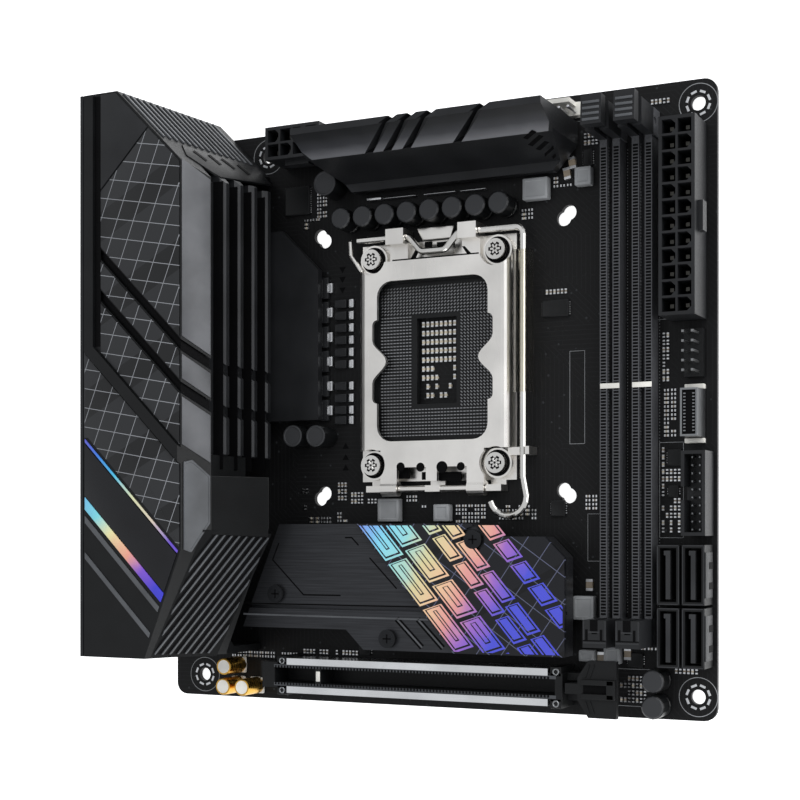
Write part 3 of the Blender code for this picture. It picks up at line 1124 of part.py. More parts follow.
def make_shield():
    """Rear plate with an opening for each port."""
    cuts = []
    for name, (_, south, width, height) in port_places().items():
        middle = south + width / 2
        if name == "wifi_module":
            cuts += [prism(circle(middle, height / 2 + side * WIFI_JACK_PITCH / 2,
                                  WIFI_JACK_DIAMETER + 2 * FIT_GAP), "X",
                           SHIELD_OUTER - OVERCUT, SHIELD_INNER + OVERCUT) for side in (-1, 1)]
        elif name == "reset_switch":
            cuts.append(prism(circle(middle, BUTTON_HEIGHT, BUTTON_DIAMETER + 2 * FIT_GAP), "X",
                              SHIELD_OUTER - OVERCUT,
                              SHIELD_INNER + OVERCUT))
        else:
            cuts.append(box(SHIELD_OUTER - OVERCUT, SHIELD_INNER + OVERCUT, south - FIT_GAP,
                            south + width + FIT_GAP, 0,
                            height + FIT_GAP))
    solid("io_shield_plate", "black_anodised",
          box(SHIELD_OUTER, SHIELD_INNER, COVER_SOUTH, COVER_NORTH, -SHIELD_BELOW, COVER_TOP), cuts=cuts)


def cover_planes():
    """Slanted face, north corner and south corner of the rear cover."""
    inside = Vector((SHIELD_INNER, 0, 0))
    top = COVER_TOP
    face = plane_through(Vector((COVER_FACE_TOP_X, 0, top)), Vector((COVER_FACE_TOP_X, NORTH, top)),
                         Vector((COVER_EAST, 0, COVER_FACE_LOW)), inside)
    start = Vector((COVER_FACE_TOP_X - COVER_NORTH_CUT, COVER_NORTH, top))
    north = plane_through(start, Vector((COVER_FACE_TOP_X, COVER_NORTH - COVER_NORTH_CUT, top)),
                          start + Vector((COVER_NORTH_LEAN, 0, -top)), inside)
    start = Vector((COVER_FACE_TOP_X - COVER_SOUTH_CUT_X, COVER_SOUTH, top))
    south = plane_through(start, Vector((COVER_FACE_TOP_X, COVER_SOUTH + COVER_SOUTH_CUT_Y, top)),
                          start + Vector((COVER_SOUTH_LEAN, 0, -COVER_SOUTH_DROP)), inside)
    return face, north, south


def cover_block(inset):
    """Outer shape of the rear cover, or the same shape smaller on every closed side."""
    rear, low = SHIELD_INNER + FIT_GAP, FIT_GAP
    if inset:
        rear, low = rear - OVERCUT, low - OVERCUT
    shape = box(rear, COVER_EAST - inset, COVER_SOUTH + inset, COVER_NORTH - inset, low, COVER_TOP - inset)
    return trim(shape, cover_planes(), inset)


def slot_outlines(x0, x1):
    """Plan outlines of the two diagonal slots that run over the cover and the rear heatsink."""
    outlines = []
    for number in range(COVER_SLOT_COUNT):
        high = -COVER_SLOT_OFFSET + number * COVER_SLOT_PITCH
        low = high - COVER_SLOT_WIDTH
        outlines.append([(x0, low - x0), (x1, low - x1), (x1, high - x1), (x0, high - x0)])
    return outlines


def make_cover():
    """Hollow cover over the rear ports, with a raised band and two diagonal slots."""
    x0 = SHIELD_INNER + FIT_GAP + COVER_RIB_INSET
    x1, end = x0 + COVER_RIB_WIDTH, COVER_FACE_TOP_X
    bend = COVER_NORTH - COVER_RIB_LENGTH
    high, low = x1 + bend, x1 + bend - COVER_RIB_WIDTH * math.sqrt(2)
    band = [(x0, COVER_NORTH - COVER_RIB_INSET), (x1, COVER_NORTH - COVER_RIB_INSET), (x1, bend),
            (end, high - end),
            (end, low - end), (x0, low - x0)]
    rib = trim(prism(band, "Z", COVER_TOP - COVER_WALL / 2, COVER_TOP + COVER_RIB_HEIGHT), cover_planes())
    inner, outer, low_edge = COVER_EAST - COVER_WALL, COVER_EAST + COVER_SKIRT_REACH, COVER_SKIRT_LOW
    wedge = [(inner, low_edge - OVERCUT), (outer, low_edge - OVERCUT), (COVER_EAST, COVER_FACE_LOW),
             (inner, COVER_FACE_LOW)]
    skirt = trim(prism(wedge, "Y", COVER_SOUTH, REAR_SINK_Y[0] - COVER_SKIRT_GAP), cover_planes()[2:])
    root = REAR_SINK_FRONT - REAR_SINK_FIN_DEPTH - FIT_GAP
    cuts = [cover_block(COVER_WALL),
            box(root, REAR_SINK_FRONT + OVERCUT, REAR_SINK_Y[0] - FIT_GAP, COVER_NORTH, 0, COVER_FACE_LOW),
            box(M2_WEST - OVERCUT, outer + OVERCUT, COVER_SOUTH - OVERCUT, REAR_SINK_Y[0], 0, low_edge)]
    cover = solid("io_cover", "black_plastic", cover_block(0), joins=[rib, skirt], cuts=cuts)
    slots = [prism(outline, "Z", COVER_FACE_LOW - COVER_WALL, COVER_TOP + 2 * OVERCUT)
             for outline in slot_outlines(x1 + COVER_RIB_INSET, COVER_EAST + OVERCUT)]
    combine(cover, "DIFFERENCE", slots, (0, 0, 0), core=cover_block(COVER_SLOT_DEPTH))


def make_rear_heatsink():
    """Heatsink with level fins that look out under the cover, and a low foot in front of them."""
    front, back, base = REAR_SINK_FRONT, REAR_SINK_BACK, REAR_SINK_BASE
    root, bevel, foot = front - REAR_SINK_FIN_DEPTH, REAR_SINK_FIN_BEVEL, REAR_SINK_FOOT_TOP
    low, high = REAR_SINK_Y
    north_face = cover_planes()[1]
    core = trim(box(back, root + OVERCUT, low, high, base, REAR_SINK_TOP), [north_face],
                COVER_WALL + FIT_GAP)
    fins = []
    for number in range(REAR_SINK_FIN_COUNT):
        top = REAR_SINK_TOP - REAR_SINK_FIN_DROP - number * REAR_SINK_FIN_PITCH
        bottom = top - REAR_SINK_FIN_PITCH + REAR_SINK_FIN_GAP
        section = [(root, bottom), (front, bottom), (front, top - bevel), (front - bevel, top), (root, top)]
        fins.append(trim(prism(section, "Y", low, high), [north_face]))
    south, north, east = low + REAR_SINK_FOOT_SOUTH, high - REAR_SINK_FOOT_NORTH, REAR_FOOT_EAST
    plan = [(root, south), (east, south), (east, north - REAR_SINK_FOOT_CUT),
            (east - REAR_SINK_FOOT_CUT, north),
            (root, north)]
    middle, wide = (back + root) / 2, SINK_POST_DIAMETER
    posts = [rod(x, y, SINK_POST_DIAMETER, FIT_GAP, base + OVERCUT) for x, y in
             ((middle, south), (middle, north), (east - wide, south + wide),
              (east - wide, (south + north) / 2))]
    centre = (south + north) / 2
    saddle = box(back, back + REAR_SINK_SADDLE_WIDTH, centre - REAR_SINK_SADDLE_LENGTH / 2,
                 centre + REAR_SINK_SADDLE_LENGTH / 2, REAR_SINK_TOP - OVERCUT,
                 COVER_TOP - COVER_WALL - FIT_GAP)
    cuts = [prism(outline, "Z", foot + FIT_GAP, REAR_SINK_TOP + OVERCUT)
            for outline in slot_outlines(front - COVER_SLOT_DEPTH, front + OVERCUT)]
    solid("vrm_heatsink_rear", "black_anodised", core,
          joins=fins + [prism(plan, "Z", base, foot), saddle] + posts, cuts=cuts)


def make_north_heatsink():
    """Ridge shaped heatsink behind the capacitor row, with slanted slits."""
    back = NORTH - NORTH_SINK_FROM_NORTH
    ridge = back - NORTH_SINK_RIDGE
    slope, top = ridge - NORTH_SINK_SLOPE_DEPTH, NORTH_SINK_TOP
    front = slope - NORTH_SINK_FRONT_DEPTH
    toe, base, foot = front - NORTH_SINK_FOOT_DEPTH, NORTH_SINK_BASE, NORTH_SINK_FOOT_TOP
    section = [(toe, base), (back, base), (back, top), (ridge, top), (slope, top - NORTH_SINK_SLOPE_DROP),
               (front, foot), (toe, foot)]
    west, east = NORTH_SINK_WEST, NORTH_SINK_EAST
    over, length, depth = OVERCUT, NORTH_SINK_CUT_LENGTH, NORTH_SINK_CUT_DEPTH
    corners = []
    for x, side in ((west, 1), (east, -1)):
        corners.append(prism([(x - side * over, toe - over), (x + side * length, toe - over),
                              (x - side * over, toe + depth)], "Z", base - over, top + over))
    posts = [rod(x, (toe + back) / 2, SINK_POST_DIAMETER, FIT_GAP, base + over)
             for x in (west + 2 * SINK_POST_DIAMETER, east - 2 * SINK_POST_DIAMETER)]
    piece = solid("vrm_heatsink_north", "black_anodised", prism(section, "X", west, east), joins=posts,
                  cuts=corners)
    slits = []
    for offset in NORTH_SINK_SLITS:
        x = west + offset
        slits.append(prism([(x, back + over), (x - NORTH_SINK_SLIT_LEAN, toe - over),
                            (x - NORTH_SINK_SLIT_LEAN + NORTH_SINK_SLIT_WIDTH, toe - over),
                            (x + NORTH_SINK_SLIT_WIDTH, back + over)], "Z", top - NORTH_SINK_SLOPE_DROP,
                           top + over))
    inner = [(y + NORTH_SINK_SLIT_DEPTH, z - NORTH_SINK_SLIT_DEPTH) for y, z in section]
    combine(piece, "DIFFERENCE", slits, (0, 0, 0), core=prism(inner, "X", west - over, east + over))


def make_storage():
    """Storage heatsink with its printed cover and screws, and the socket and chip under it."""
    low = M2_TOP - M2_THICKNESS
    cut, step = M2_CORNER_CUT, M2_STEP_LENGTH
    mid_south = M2_SOUTH + M2_STEP_DEPTH
    corner_x = M2_EAST - cut
    step_x = corner_x - M2_NORTH_STEP
    plan = [(M2_WEST, mid_south), (M2_WEST + step, mid_south), (M2_WEST + step + M2_STEP_DEPTH, M2_SOUTH),
            (M2_EAST, M2_SOUTH), (M2_EAST, M2_NORTH - M2_NORTH_DROP - cut),
            (corner_x, M2_NORTH - M2_NORTH_DROP),
            (step_x, M2_NORTH - M2_NORTH_DROP), (step_x - M2_NORTH_DROP, M2_NORTH),
            (M2_WEST + M2_LEAN, M2_NORTH)]
    spots = [(M2_WEST + M2_SCREW_WEST, (M2_NORTH + mid_south) / 2 - M2_SCREW_DIAMETER),
             (step_x - M2_SCREW_BEFORE_STEP, M2_NORTH - M2_NORTH_DROP / 2 - M2_SCREW_DIAMETER / 2),
             (M2_WEST + step + M2_SCREW_PAST_STEP, M2_SOUTH + M2_SCREW_FROM_SOUTH)]
    groove = mid_south + M2_STEP_DEPTH
    solid("m2_heatsink", "brushed_grey", prism(plan, "Z", low, M2_TOP),
          joins=[rod(x, y, M2_POST_DIAMETER, FIT_GAP, low + OVERCUT) for x, y in spots],
          cuts=[box(M2_WEST - OVERCUT, M2_EAST + OVERCUT, groove, groove + M2_GROOVE_WIDTH,
                    M2_TOP - M2_GROOVE_DEPTH,
                    M2_TOP + OVERCUT)])

    z0 = M2_TOP + FIT_GAP
    z1 = z0 + M2_COVER_THICKNESS
    sheet = [(M2_WEST + M2_COVER_SPLIT_NORTH, M2_NORTH), (step_x - M2_NORTH_DROP, M2_NORTH),
             (step_x, M2_NORTH - M2_NORTH_DROP), (corner_x, M2_NORTH - M2_NORTH_DROP),
             (M2_EAST, M2_NORTH - M2_NORTH_DROP - cut), (M2_EAST, M2_SOUTH),
             (M2_WEST + M2_COVER_SPLIT_NORTH + M2_COVER_SPLIT_SOUTH, M2_SOUTH)]
    x, y = spots[1]
    solid("m2_cover", "printed_sheet", prism(sheet, "Z", z0, z1),
          cuts=[rod(x, y, M2_SCREW_DIAMETER + 2 * OVERCUT, z0 - OVERCUT, z1 + OVERCUT)])
    for number, (x, y) in enumerate(spots, 1):
        recess = rod(x, y, SCREW_DRIVE, z0 + M2_SCREW_HEIGHT / 2, z0 + M2_SCREW_HEIGHT + OVERCUT,
                     HEX_SIDES)
        solid("m2_screw_%d" % number, "dark_steel", rod(x, y, M2_SCREW_DIAMETER, z0, z0 + M2_SCREW_HEIGHT),
              cuts=[recess], smooth=True)

    x1, y = M2_EAST - M2_SOCKET_FROM_EDGE, (M2_NORTH + M2_SOUTH) / 2
    x0, wide = x1 - M2_SOCKET_DEPTH, M2_SOCKET_WIDTH / 2
    level = M2_SOCKET_HEIGHT / 2
    solid("m2_socket", "black_plastic", box(x0, x1, y - wide, y + wide, FIT_GAP, M2_SOCKET_HEIGHT),
          cuts=[box(x0 - OVERCUT, x1 - M2_SOCKET_MOUTH, y - wide + M2_SOCKET_MOUTH,
                    y + wide - M2_SOCKET_MOUTH,
                    level, level + M2_SOCKET_MOUTH)])
    x, y, half = EAST - CHIPSET_FROM_FRONT, y - CHIPSET_SHIFT, CHIPSET_SIZE / 2
    solid("chipset", "silicon_package",
          box(x - half, x + half, y - half, y + half, FIT_GAP, CHIPSET_HEIGHT))


for old in list(bpy.data.objects):
    bpy.data.objects.remove(old)

DATUM = bpy.data.objects.new("datum", None)
DATUM.location = (-(REAR_MOST + EAST) / 2, -(SOUTH + COVER_NORTH) / 2, -FLOOR)
bpy.context.scene.collection.objects.link(DATUM)

make_board()
make_socket()
make_load_plate()
make_load_lever()
for slot_letter in DIMM_X:
    make_memory_slot(slot_letter)
make_expansion_slot()
make_power_plug("atx_power", atx_box(), "front")
make_power_plug("cpu_power", eps_box(), "south")
make_front_headers()
make_capacitors()
make_rear_ports()
make_shield()
make_cover()
make_rear_heatsink()
make_north_heatsink()
make_storage()
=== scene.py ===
"""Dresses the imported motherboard: a finish for every solid, and the small parts that stand on it.

Lengths are millimetres in the board's own frame. Its origin is the middle of the circuit board's top
face, x runs towards the front edge, y towards the north edge and z up. A piece is modelled there, and
Bench.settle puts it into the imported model's frame in metres.
"""

from __future__ import annotations

import json
import logging
import math
import random
from dataclasses import dataclass
from enum import Enum
from typing import Iterable, Iterator, Sequence

import bpy
from mathutils import Matrix, Vector

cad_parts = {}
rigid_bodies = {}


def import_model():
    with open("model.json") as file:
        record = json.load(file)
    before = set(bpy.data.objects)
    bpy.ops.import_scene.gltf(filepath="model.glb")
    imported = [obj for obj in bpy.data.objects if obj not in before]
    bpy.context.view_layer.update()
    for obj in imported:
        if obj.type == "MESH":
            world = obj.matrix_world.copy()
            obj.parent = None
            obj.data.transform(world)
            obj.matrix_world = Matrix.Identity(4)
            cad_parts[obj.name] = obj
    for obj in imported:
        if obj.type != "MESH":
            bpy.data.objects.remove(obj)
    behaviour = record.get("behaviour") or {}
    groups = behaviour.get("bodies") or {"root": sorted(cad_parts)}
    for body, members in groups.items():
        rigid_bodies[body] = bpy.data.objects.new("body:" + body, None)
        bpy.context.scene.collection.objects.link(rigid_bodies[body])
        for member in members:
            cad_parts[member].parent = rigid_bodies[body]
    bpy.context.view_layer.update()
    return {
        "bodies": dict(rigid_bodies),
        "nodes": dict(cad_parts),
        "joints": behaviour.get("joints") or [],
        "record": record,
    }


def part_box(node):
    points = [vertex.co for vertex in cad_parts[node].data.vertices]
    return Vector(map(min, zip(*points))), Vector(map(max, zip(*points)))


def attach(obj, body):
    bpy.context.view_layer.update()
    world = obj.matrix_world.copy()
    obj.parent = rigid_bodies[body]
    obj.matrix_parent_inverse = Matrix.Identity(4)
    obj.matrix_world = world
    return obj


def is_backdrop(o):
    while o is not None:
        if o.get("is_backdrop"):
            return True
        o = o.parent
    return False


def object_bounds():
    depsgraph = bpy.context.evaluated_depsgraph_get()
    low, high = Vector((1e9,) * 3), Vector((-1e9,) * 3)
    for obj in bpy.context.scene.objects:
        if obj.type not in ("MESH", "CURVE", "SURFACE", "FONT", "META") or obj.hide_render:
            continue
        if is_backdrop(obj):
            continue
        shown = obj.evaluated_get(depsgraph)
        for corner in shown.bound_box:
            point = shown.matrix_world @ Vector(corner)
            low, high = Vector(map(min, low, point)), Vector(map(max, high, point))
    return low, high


LOG = logging.getLogger("motherboard")
MM = 0.001
SEED = 11
SMOOTH_ANGLE = math.radians(35)

Spot = tuple[float, float]
Corner = tuple[float, float, float]
Colour = tuple[float, float, float, float]
Cut = tuple[Corner, Corner]
Numbers = tuple[float, ...]
Piece = bpy.types.Object
Tree = bpy.types.NodeTree
Node = bpy.types.Node
Wire = bpy.types.NodeSocket

# The part of a noise's range that most of it lies in
NOISE_SPAN: Spot = (0.3, 0.7)
# How far a flat mark is sunk into the face below it
SUNK = 0.02


class Body(Enum):
    """The moving bodies that pieces ride on."""

    BOARD = "board"
    LOAD_PLATE = "load_plate"
    LATCH_A = "dimm_latch_a"
    LATCH_B = "dimm_latch_b"
    CARD_LATCH = "pcie_latch"


class Axis(Enum):
    """The direction that a brushed finish runs in, as stretch factors of its streaks."""

    ALONG_X = (0.02, 1.0, 1.0)
    ALONG_Y = (1.0, 0.02, 1.0)


def linear(hex_colour: str, lift: float = 1.0) -> Colour:
    """Turns an sRGB hex colour into linear light.

    Args:
        hex_colour: Colour such as "#1a1b1c".
        lift: Factor on the linear value, for a lighter or darker shade.

    Returns:
        Red, green, blue and alpha in linear light.
    """
    shades = []
    for start in (1, 3, 5):
        value = int(hex_colour[start:start + 2], 16) / 255
        light = value / 12.92 if value <= 0.04045 else ((value + 0.055) / 1.055) ** 2.4
        shades.append(min(1.0, light * lift))
    return (shades[0], shades[1], shades[2], 1.0)


def per_mm(size: float) -> float:
    """Returns the texture scale that gives features of a size in millimetres."""
    return 1.0 / (size * MM)


def add_node(tree: Tree, kind: str, inputs: dict | None = None,
             stops: Sequence[tuple[float, Colour]] = (), **settings: object) -> Node:
    """Adds a shader node with its settings, values and links.

    Args:
        tree: Node tree to add to.
        kind: Node type, without the ShaderNode that each one starts with.
        inputs: Input names or numbers, each with a value or an output socket to link.
        stops: Places and colours of a colour ramp.
        settings: Fields of the node.

    Returns:
        The new node.
    """
    node = tree.nodes.new("ShaderNode" + kind)
    for key, value in settings.items():
        setattr(node, key, value)
    for key, value in (inputs or {}).items():
        if isinstance(value, bpy.types.NodeSocket):
            tree.links.new(value, node.inputs[key])
        else:
            node.inputs[key].default_value = value
    for number, (place, colour) in enumerate(stops):
        elements = node.color_ramp.elements
        element = elements[number] if number < len(elements) else elements.new(place)
        element.position = place
        element.color = colour
    return node


def neighbours(spots: Sequence) -> Iterator[tuple]:
    """Pairs each spot of a closed outline with the next one."""
    return zip(spots, [*spots[1:], spots[0]])


def placed(x: float, y: float, z: float = 0.0, turn: float = 0.0) -> Matrix:
    """Returns a turn about the vertical, in radians, and a move to a place."""
    return Matrix.Translation((x, y, z)) @ Matrix.Rotation(turn, 4, "Z")


def link_all(tree: Tree, shader: Node, outputs: dict[str, Wire]) -> None:
    """Links outputs to the shader's inputs of the given names."""
    for name, wire in outputs.items():
        tree.links.new(wire, shader.inputs[name])


@dataclass(frozen=True)
class Finish:
    """A surface finish: its base values, and a pattern that each kind adds."""

    name: str
    slot: str
    colour: str
    roughness: float
    metallic: float = 0.0
    specular: float = 0.5

    def material(self) -> bpy.types.Material:
        """Finds the finish's material, or makes it on first use.

        Returns:
            The material.
        """
        found = bpy.data.materials.get(self.name)
        if found is not None:
            return found
        made = bpy.data.materials.new(self.name)
        made.use_nodes = True
        tree = made.node_tree
        tree.nodes.clear()
        shader = add_node(tree, "BsdfPrincipled", {
            "Base Color": linear(self.colour), "Roughness": self.roughness, "Metallic": self.metallic,
            "Specular IOR Level": self.specular})
        add_node(tree, "OutputMaterial", {"Surface": shader.outputs["BSDF"]})
        self.paint(tree, shader, add_node(tree, "TexCoord").outputs["Object"])
        return made

    def paint(self, tree: Tree, shader: Node, place: Wire) -> None:
        """Adds the pattern of this kind of finish to its shader, as each kind's own method does.

        Args:
            tree: Node tree to add to.
            shader: Shader that the pattern goes to.
            place: Coordinates.
        """
        raise NotImplementedError

    def shades(self, lifts: Spot, span: Spot = NOISE_SPAN) -> list[tuple[float, Colour]]:
        """Returns ramp stops from a darker to a lighter shade of the colour."""
        return [(place, linear(self.colour, lift)) for place, lift in zip(span, lifts)]

    def gloss(self, reach: float, span: Spot = (0.0, 1.0)) -> dict[str, float]:
        """Returns the values that spread a span over the roughness less and more a reach."""
        return {"From Min": span[0], "From Max": span[1],
                "To Min": self.roughness - reach, "To Max": self.roughness + reach}


@dataclass(frozen=True)
class Moulded(Finish):
    """Moulded plastic or pressed powder: a fine pitted skin with cloudy shade and uneven gloss."""

    grain: float = 0.35
    cloud: float = 11.0
    depth: float = 0.02
    spread: float = 0.16
    lifts: Spot = (0.78, 1.25)
    pitting: float = 0.5

    def paint(self, tree: Tree, shader: Node, place: Wire) -> None:
        """Adds clouded colour, pitted bump and uneven roughness."""
        cloud = add_node(tree, "TexNoise", {"Vector": place, "Scale": per_mm(self.cloud), "Detail": 3.0})
        grain = add_node(tree, "TexNoise", {"Vector": place, "Scale": per_mm(self.grain), "Detail": 2.0})
        tint = add_node(tree, "ValToRGB", {"Fac": cloud.outputs["Fac"]}, self.shades(self.lifts))
        gloss = add_node(tree, "MapRange", {
            "Value": grain.outputs["Fac"], **self.gloss(self.spread / 2, NOISE_SPAN)})
        bump = add_node(tree, "Bump", {
            "Height": grain.outputs["Fac"], "Strength": self.pitting, "Distance": self.depth * MM})
        link_all(tree, shader, {"Base Color": tint.outputs["Color"], "Roughness": gloss.outputs["Result"],
                                "Normal": bump.outputs["Normal"]})


@dataclass(frozen=True)
class Plated(Finish):
    """Plated or bare sheet metal: soft rolling streaks, small scratches and faint stains."""

    axis: Axis = Axis.ALONG_Y
    streak: float = 0.5
    stain: float = 16.0
    spread: float = 0.14
    lifts: Spot = (0.82, 1.08)
    stain_span: Spot = (0.3, 0.72)
    scratching: float = 0.12
    depth: float = 0.01

    def paint(self, tree: Tree, shader: Node, place: Wire) -> None:
        """Adds stains to the colour, and streaks to gloss and bump."""
        stain = add_node(tree, "TexNoise", {"Vector": place, "Scale": per_mm(self.stain), "Detail": 4.0})
        rolled = add_node(tree, "Mapping", {"Vector": place, "Scale": self.axis.value})
        streak = add_node(tree, "TexNoise", {
            "Vector": rolled.outputs["Vector"], "Scale": per_mm(self.streak), "Detail": 3.0})
        tint = add_node(tree, "ValToRGB", {"Fac": stain.outputs["Fac"]},
                        self.shades(self.lifts, self.stain_span))
        gloss = add_node(tree, "MapRange", {
            "Value": streak.outputs["Fac"], **self.gloss(self.spread / 2, NOISE_SPAN)})
        bump = add_node(tree, "Bump", {
            "Height": streak.outputs["Fac"], "Strength": self.scratching, "Distance": self.depth * MM})
        link_all(tree, shader, {"Base Color": tint.outputs["Color"], "Roughness": gloss.outputs["Result"],
                                "Normal": bump.outputs["Normal"]})


@dataclass(frozen=True)
class Brushed(Finish):
    """Brushed anodised aluminium: long straight hairlines in one direction, the lighter ones glossier."""

    axis: Axis = Axis.ALONG_X
    hairline: float = 0.3
    contrast: float = 0.35
    reach: float = -0.08
    brushing: float = 0.25
    depth: float = 0.02

    def paint(self, tree: Tree, shader: Node, place: Wire) -> None:
        """Adds hairlines to colour, gloss and bump."""
        drawn = add_node(tree, "Mapping", {"Vector": place, "Scale": self.axis.value})
        line = add_node(tree, "TexNoise", {
            "Vector": drawn.outputs["Vector"], "Scale": per_mm(self.hairline), "Detail": 5.0})
        tint = add_node(tree, "ValToRGB", {"Fac": line.outputs["Fac"]},
                        self.shades((1 - self.contrast, 1 + self.contrast)))
        gloss = add_node(tree, "MapRange", {
            "Value": line.outputs["Fac"], **self.gloss(self.reach, NOISE_SPAN)})
        bump = add_node(tree, "Bump", {
            "Height": line.outputs["Fac"], "Strength": self.brushing, "Distance": self.depth * MM})
        link_all(tree, shader, {"Base Color": tint.outputs["Color"], "Roughness": gloss.outputs["Result"],
                                "Normal": bump.outputs["Normal"]})


@dataclass(frozen=True)
class SolderMask(Finish):
    """Matte black solder mask: buried copper routes show as slightly raised, slightly lighter lines."""

    route_pitch: float = 1.3
    route_width: float = 0.22
    route_length: float = 22.0
    route_softness: float = 0.2
    patch: float = 24.0
    patch_levels: Spot = (0.44, 0.52)
    via_pitch: float = 3.4
    via_share: float = 0.1
    grain: float = 0.4
    reach: float = 0.1
    relief: float = 0.4
    depth: float = 0.03
    route_colour: str = "#151617"
    via_colour: str = "#2b2d2f"

    def paint(self, tree: Tree, shader: Node, place: Wire) -> None:
        """Adds straight and slanted routes in patches, vias, and bump from both."""
        patch = add_node(tree, "TexNoise", {"Vector": place, "Scale": per_mm(self.patch), "Detail": 1.0})
        layers = []
        for turn in (0.0, math.pi / 4, math.pi / 2):
            turned = add_node(tree, "Mapping", {"Vector": place, "Rotation": (0.0, 0.0, turn)})
            brick = add_node(tree, "TexBrick", {
                "Vector": turned.outputs["Vector"], "Scale": per_mm(1.0),
                "Mortar Size": self.route_width / 2, "Mortar Smooth": self.route_softness,
                "Brick Width": self.route_length, "Row Height": self.route_pitch})
            layers.append(brick.outputs["Fac"])
        route = layers[0]
        for level, layer in zip(self.patch_levels, layers[1:]):
            inside = add_node(tree, "Math", {0: patch.outputs["Fac"], 1: level}, operation="GREATER_THAN")
            route = add_node(tree, "Mix", {
                "Factor": inside.outputs["Value"], "A": route, "B": layer}).outputs["Result"]
        cell = add_node(tree, "TexVoronoi", {"Vector": place, "Scale": per_mm(self.via_pitch)})
        via = add_node(tree, "Math", {0: cell.outputs["Distance"], 1: self.via_share}, operation="LESS_THAN")
        copper = add_node(tree, "ValToRGB", {"Fac": route},
                          [(0.0, linear(self.colour)), (1.0, linear(self.route_colour))])
        tint = add_node(tree, "MixRGB", {
            "Fac": via.outputs["Value"], "Color1": copper.outputs["Color"],
            "Color2": linear(self.via_colour)})
        grain = add_node(tree, "TexNoise", {"Vector": place, "Scale": per_mm(self.grain), "Detail": 3.0})
        gloss = add_node(tree, "MapRange", {"Value": grain.outputs["Fac"], **self.gloss(self.reach)})
        raised = add_node(tree, "Math", {0: route, 1: via.outputs["Value"]}, operation="ADD")
        bump = add_node(tree, "Bump", {
            "Height": raised.outputs["Value"], "Strength": self.relief, "Distance": self.depth * MM})
        link_all(tree, shader, {"Base Color": tint.outputs["Color"], "Roughness": gloss.outputs["Result"],
                                "Normal": bump.outputs["Normal"]})


@dataclass(frozen=True)
class Lattice(Finish):
    """Satin black panel with a thin pale line lattice and wide darker stripes printed on it."""

    line_colour: str = "#85878b"
    pitch: float = 5.4
    line: float = 0.2
    turns: Numbers = (22.0, 100.0)
    stripe_pitch: float = 21.0
    stripe: float = 7.5
    stripe_turn: float = 62.0
    stripe_shade: float = 0.4
    grain: float = 0.3
    reach: float = 0.1
    pitting: float = 0.3
    depth: float = 0.01

    def paint(self, tree: Tree, shader: Node, place: Wire) -> None:
        """Adds the stripes, one set of straight lines for each turn, and a fine grain."""
        stripes = self.lines(tree, place, self.stripe_turn, self.stripe_pitch, self.stripe)
        tint = add_node(tree, "MixRGB", {
            "Fac": stripes, "Color1": linear(self.colour), "Color2": linear(self.colour, self.stripe_shade)})
        for turn in self.turns:
            line = self.lines(tree, place, turn, self.pitch, self.line)
            tint = add_node(tree, "MixRGB", {
                "Fac": line, "Color1": tint.outputs["Color"], "Color2": linear(self.line_colour)})
        grain = add_node(tree, "TexNoise", {"Vector": place, "Scale": per_mm(self.grain), "Detail": 2.0})
        gloss = add_node(tree, "MapRange", {"Value": grain.outputs["Fac"], **self.gloss(self.reach)})
        bump = add_node(tree, "Bump", {
            "Height": grain.outputs["Fac"], "Strength": self.pitting, "Distance": self.depth * MM})
        link_all(tree, shader, {"Base Color": tint.outputs["Color"], "Roughness": gloss.outputs["Result"],
                                "Normal": bump.outputs["Normal"]})

    def lines(self, tree: Tree, place: Wire, turn: float, pitch: float, width: float) -> Wire:
        """Adds one set of straight parallel lines.

        Args:
            tree: Node tree to add to.
            place: Coordinates.
            turn: Turn of the lines in degrees.
            pitch: Distance between lines in millimetres.
            width: Width of a line in millimetres.

        Returns:
            An output that is 1 on a line and 0 between lines.
        """
        bands_per_unit = 20.0
        turned = add_node(tree, "Mapping", {"Vector": place, "Rotation": (0.0, 0.0, math.radians(turn))})
        saw = add_node(tree, "TexWave", {
            "Vector": turned.outputs["Vector"], "Scale": 2 * math.pi / bands_per_unit * per_mm(pitch)},
            wave_profile="SAW")
        line = add_node(tree, "Math", {0: saw.outputs["Fac"], 1: width / pitch}, operation="LESS_THAN")
        return line.outputs["Value"]


@dataclass(frozen=True)
class ColourRun(Finish):
    """A colour that runs along a line: thin interference film, or painted light along black anodising."""

    start: Spot = (0.0, 0.0)
    end: Spot = (10.0, 0.0)
    stops: tuple[str, ...] = ("#3a55c8", "#38b8d8", "#d8d48a", "#f0a04a", "#e0608c", "#7a4fc4")
    ripple: float = 6.0
    wander: float = 0.14
    reach: float = 0.08

    def paint(self, tree: Tree, shader: Node, place: Wire) -> None:
        """Adds the colour run and a faint unevenness."""
        low, high = Bench.to_frame((*self.start, 0.0)), Bench.to_frame((*self.end, 0.0))
        run = high - low
        along = add_node(tree, "VectorMath", {0: place, 1: low}, operation="SUBTRACT")
        share = add_node(tree, "VectorMath", {0: along.outputs["Vector"], 1: run / run.length_squared},
                         operation="DOT_PRODUCT")
        ripple = add_node(tree, "TexNoise", {"Vector": place, "Scale": per_mm(self.ripple), "Detail": 2.0})
        moved = add_node(tree, "Math", {
            0: ripple.outputs["Fac"], 1: self.wander, 2: share.outputs["Value"]}, operation="MULTIPLY_ADD")
        steps = len(self.stops) - 1
        tint = add_node(tree, "ValToRGB", {"Fac": moved.outputs["Value"]},
                        [(number / steps, linear(colour)) for number, colour in enumerate(self.stops)])
        gloss = add_node(tree, "MapRange", {"Value": ripple.outputs["Fac"], **self.gloss(self.reach)})
        link_all(tree, shader, {"Base Color": tint.outputs["Color"], "Roughness": gloss.outputs["Result"]})


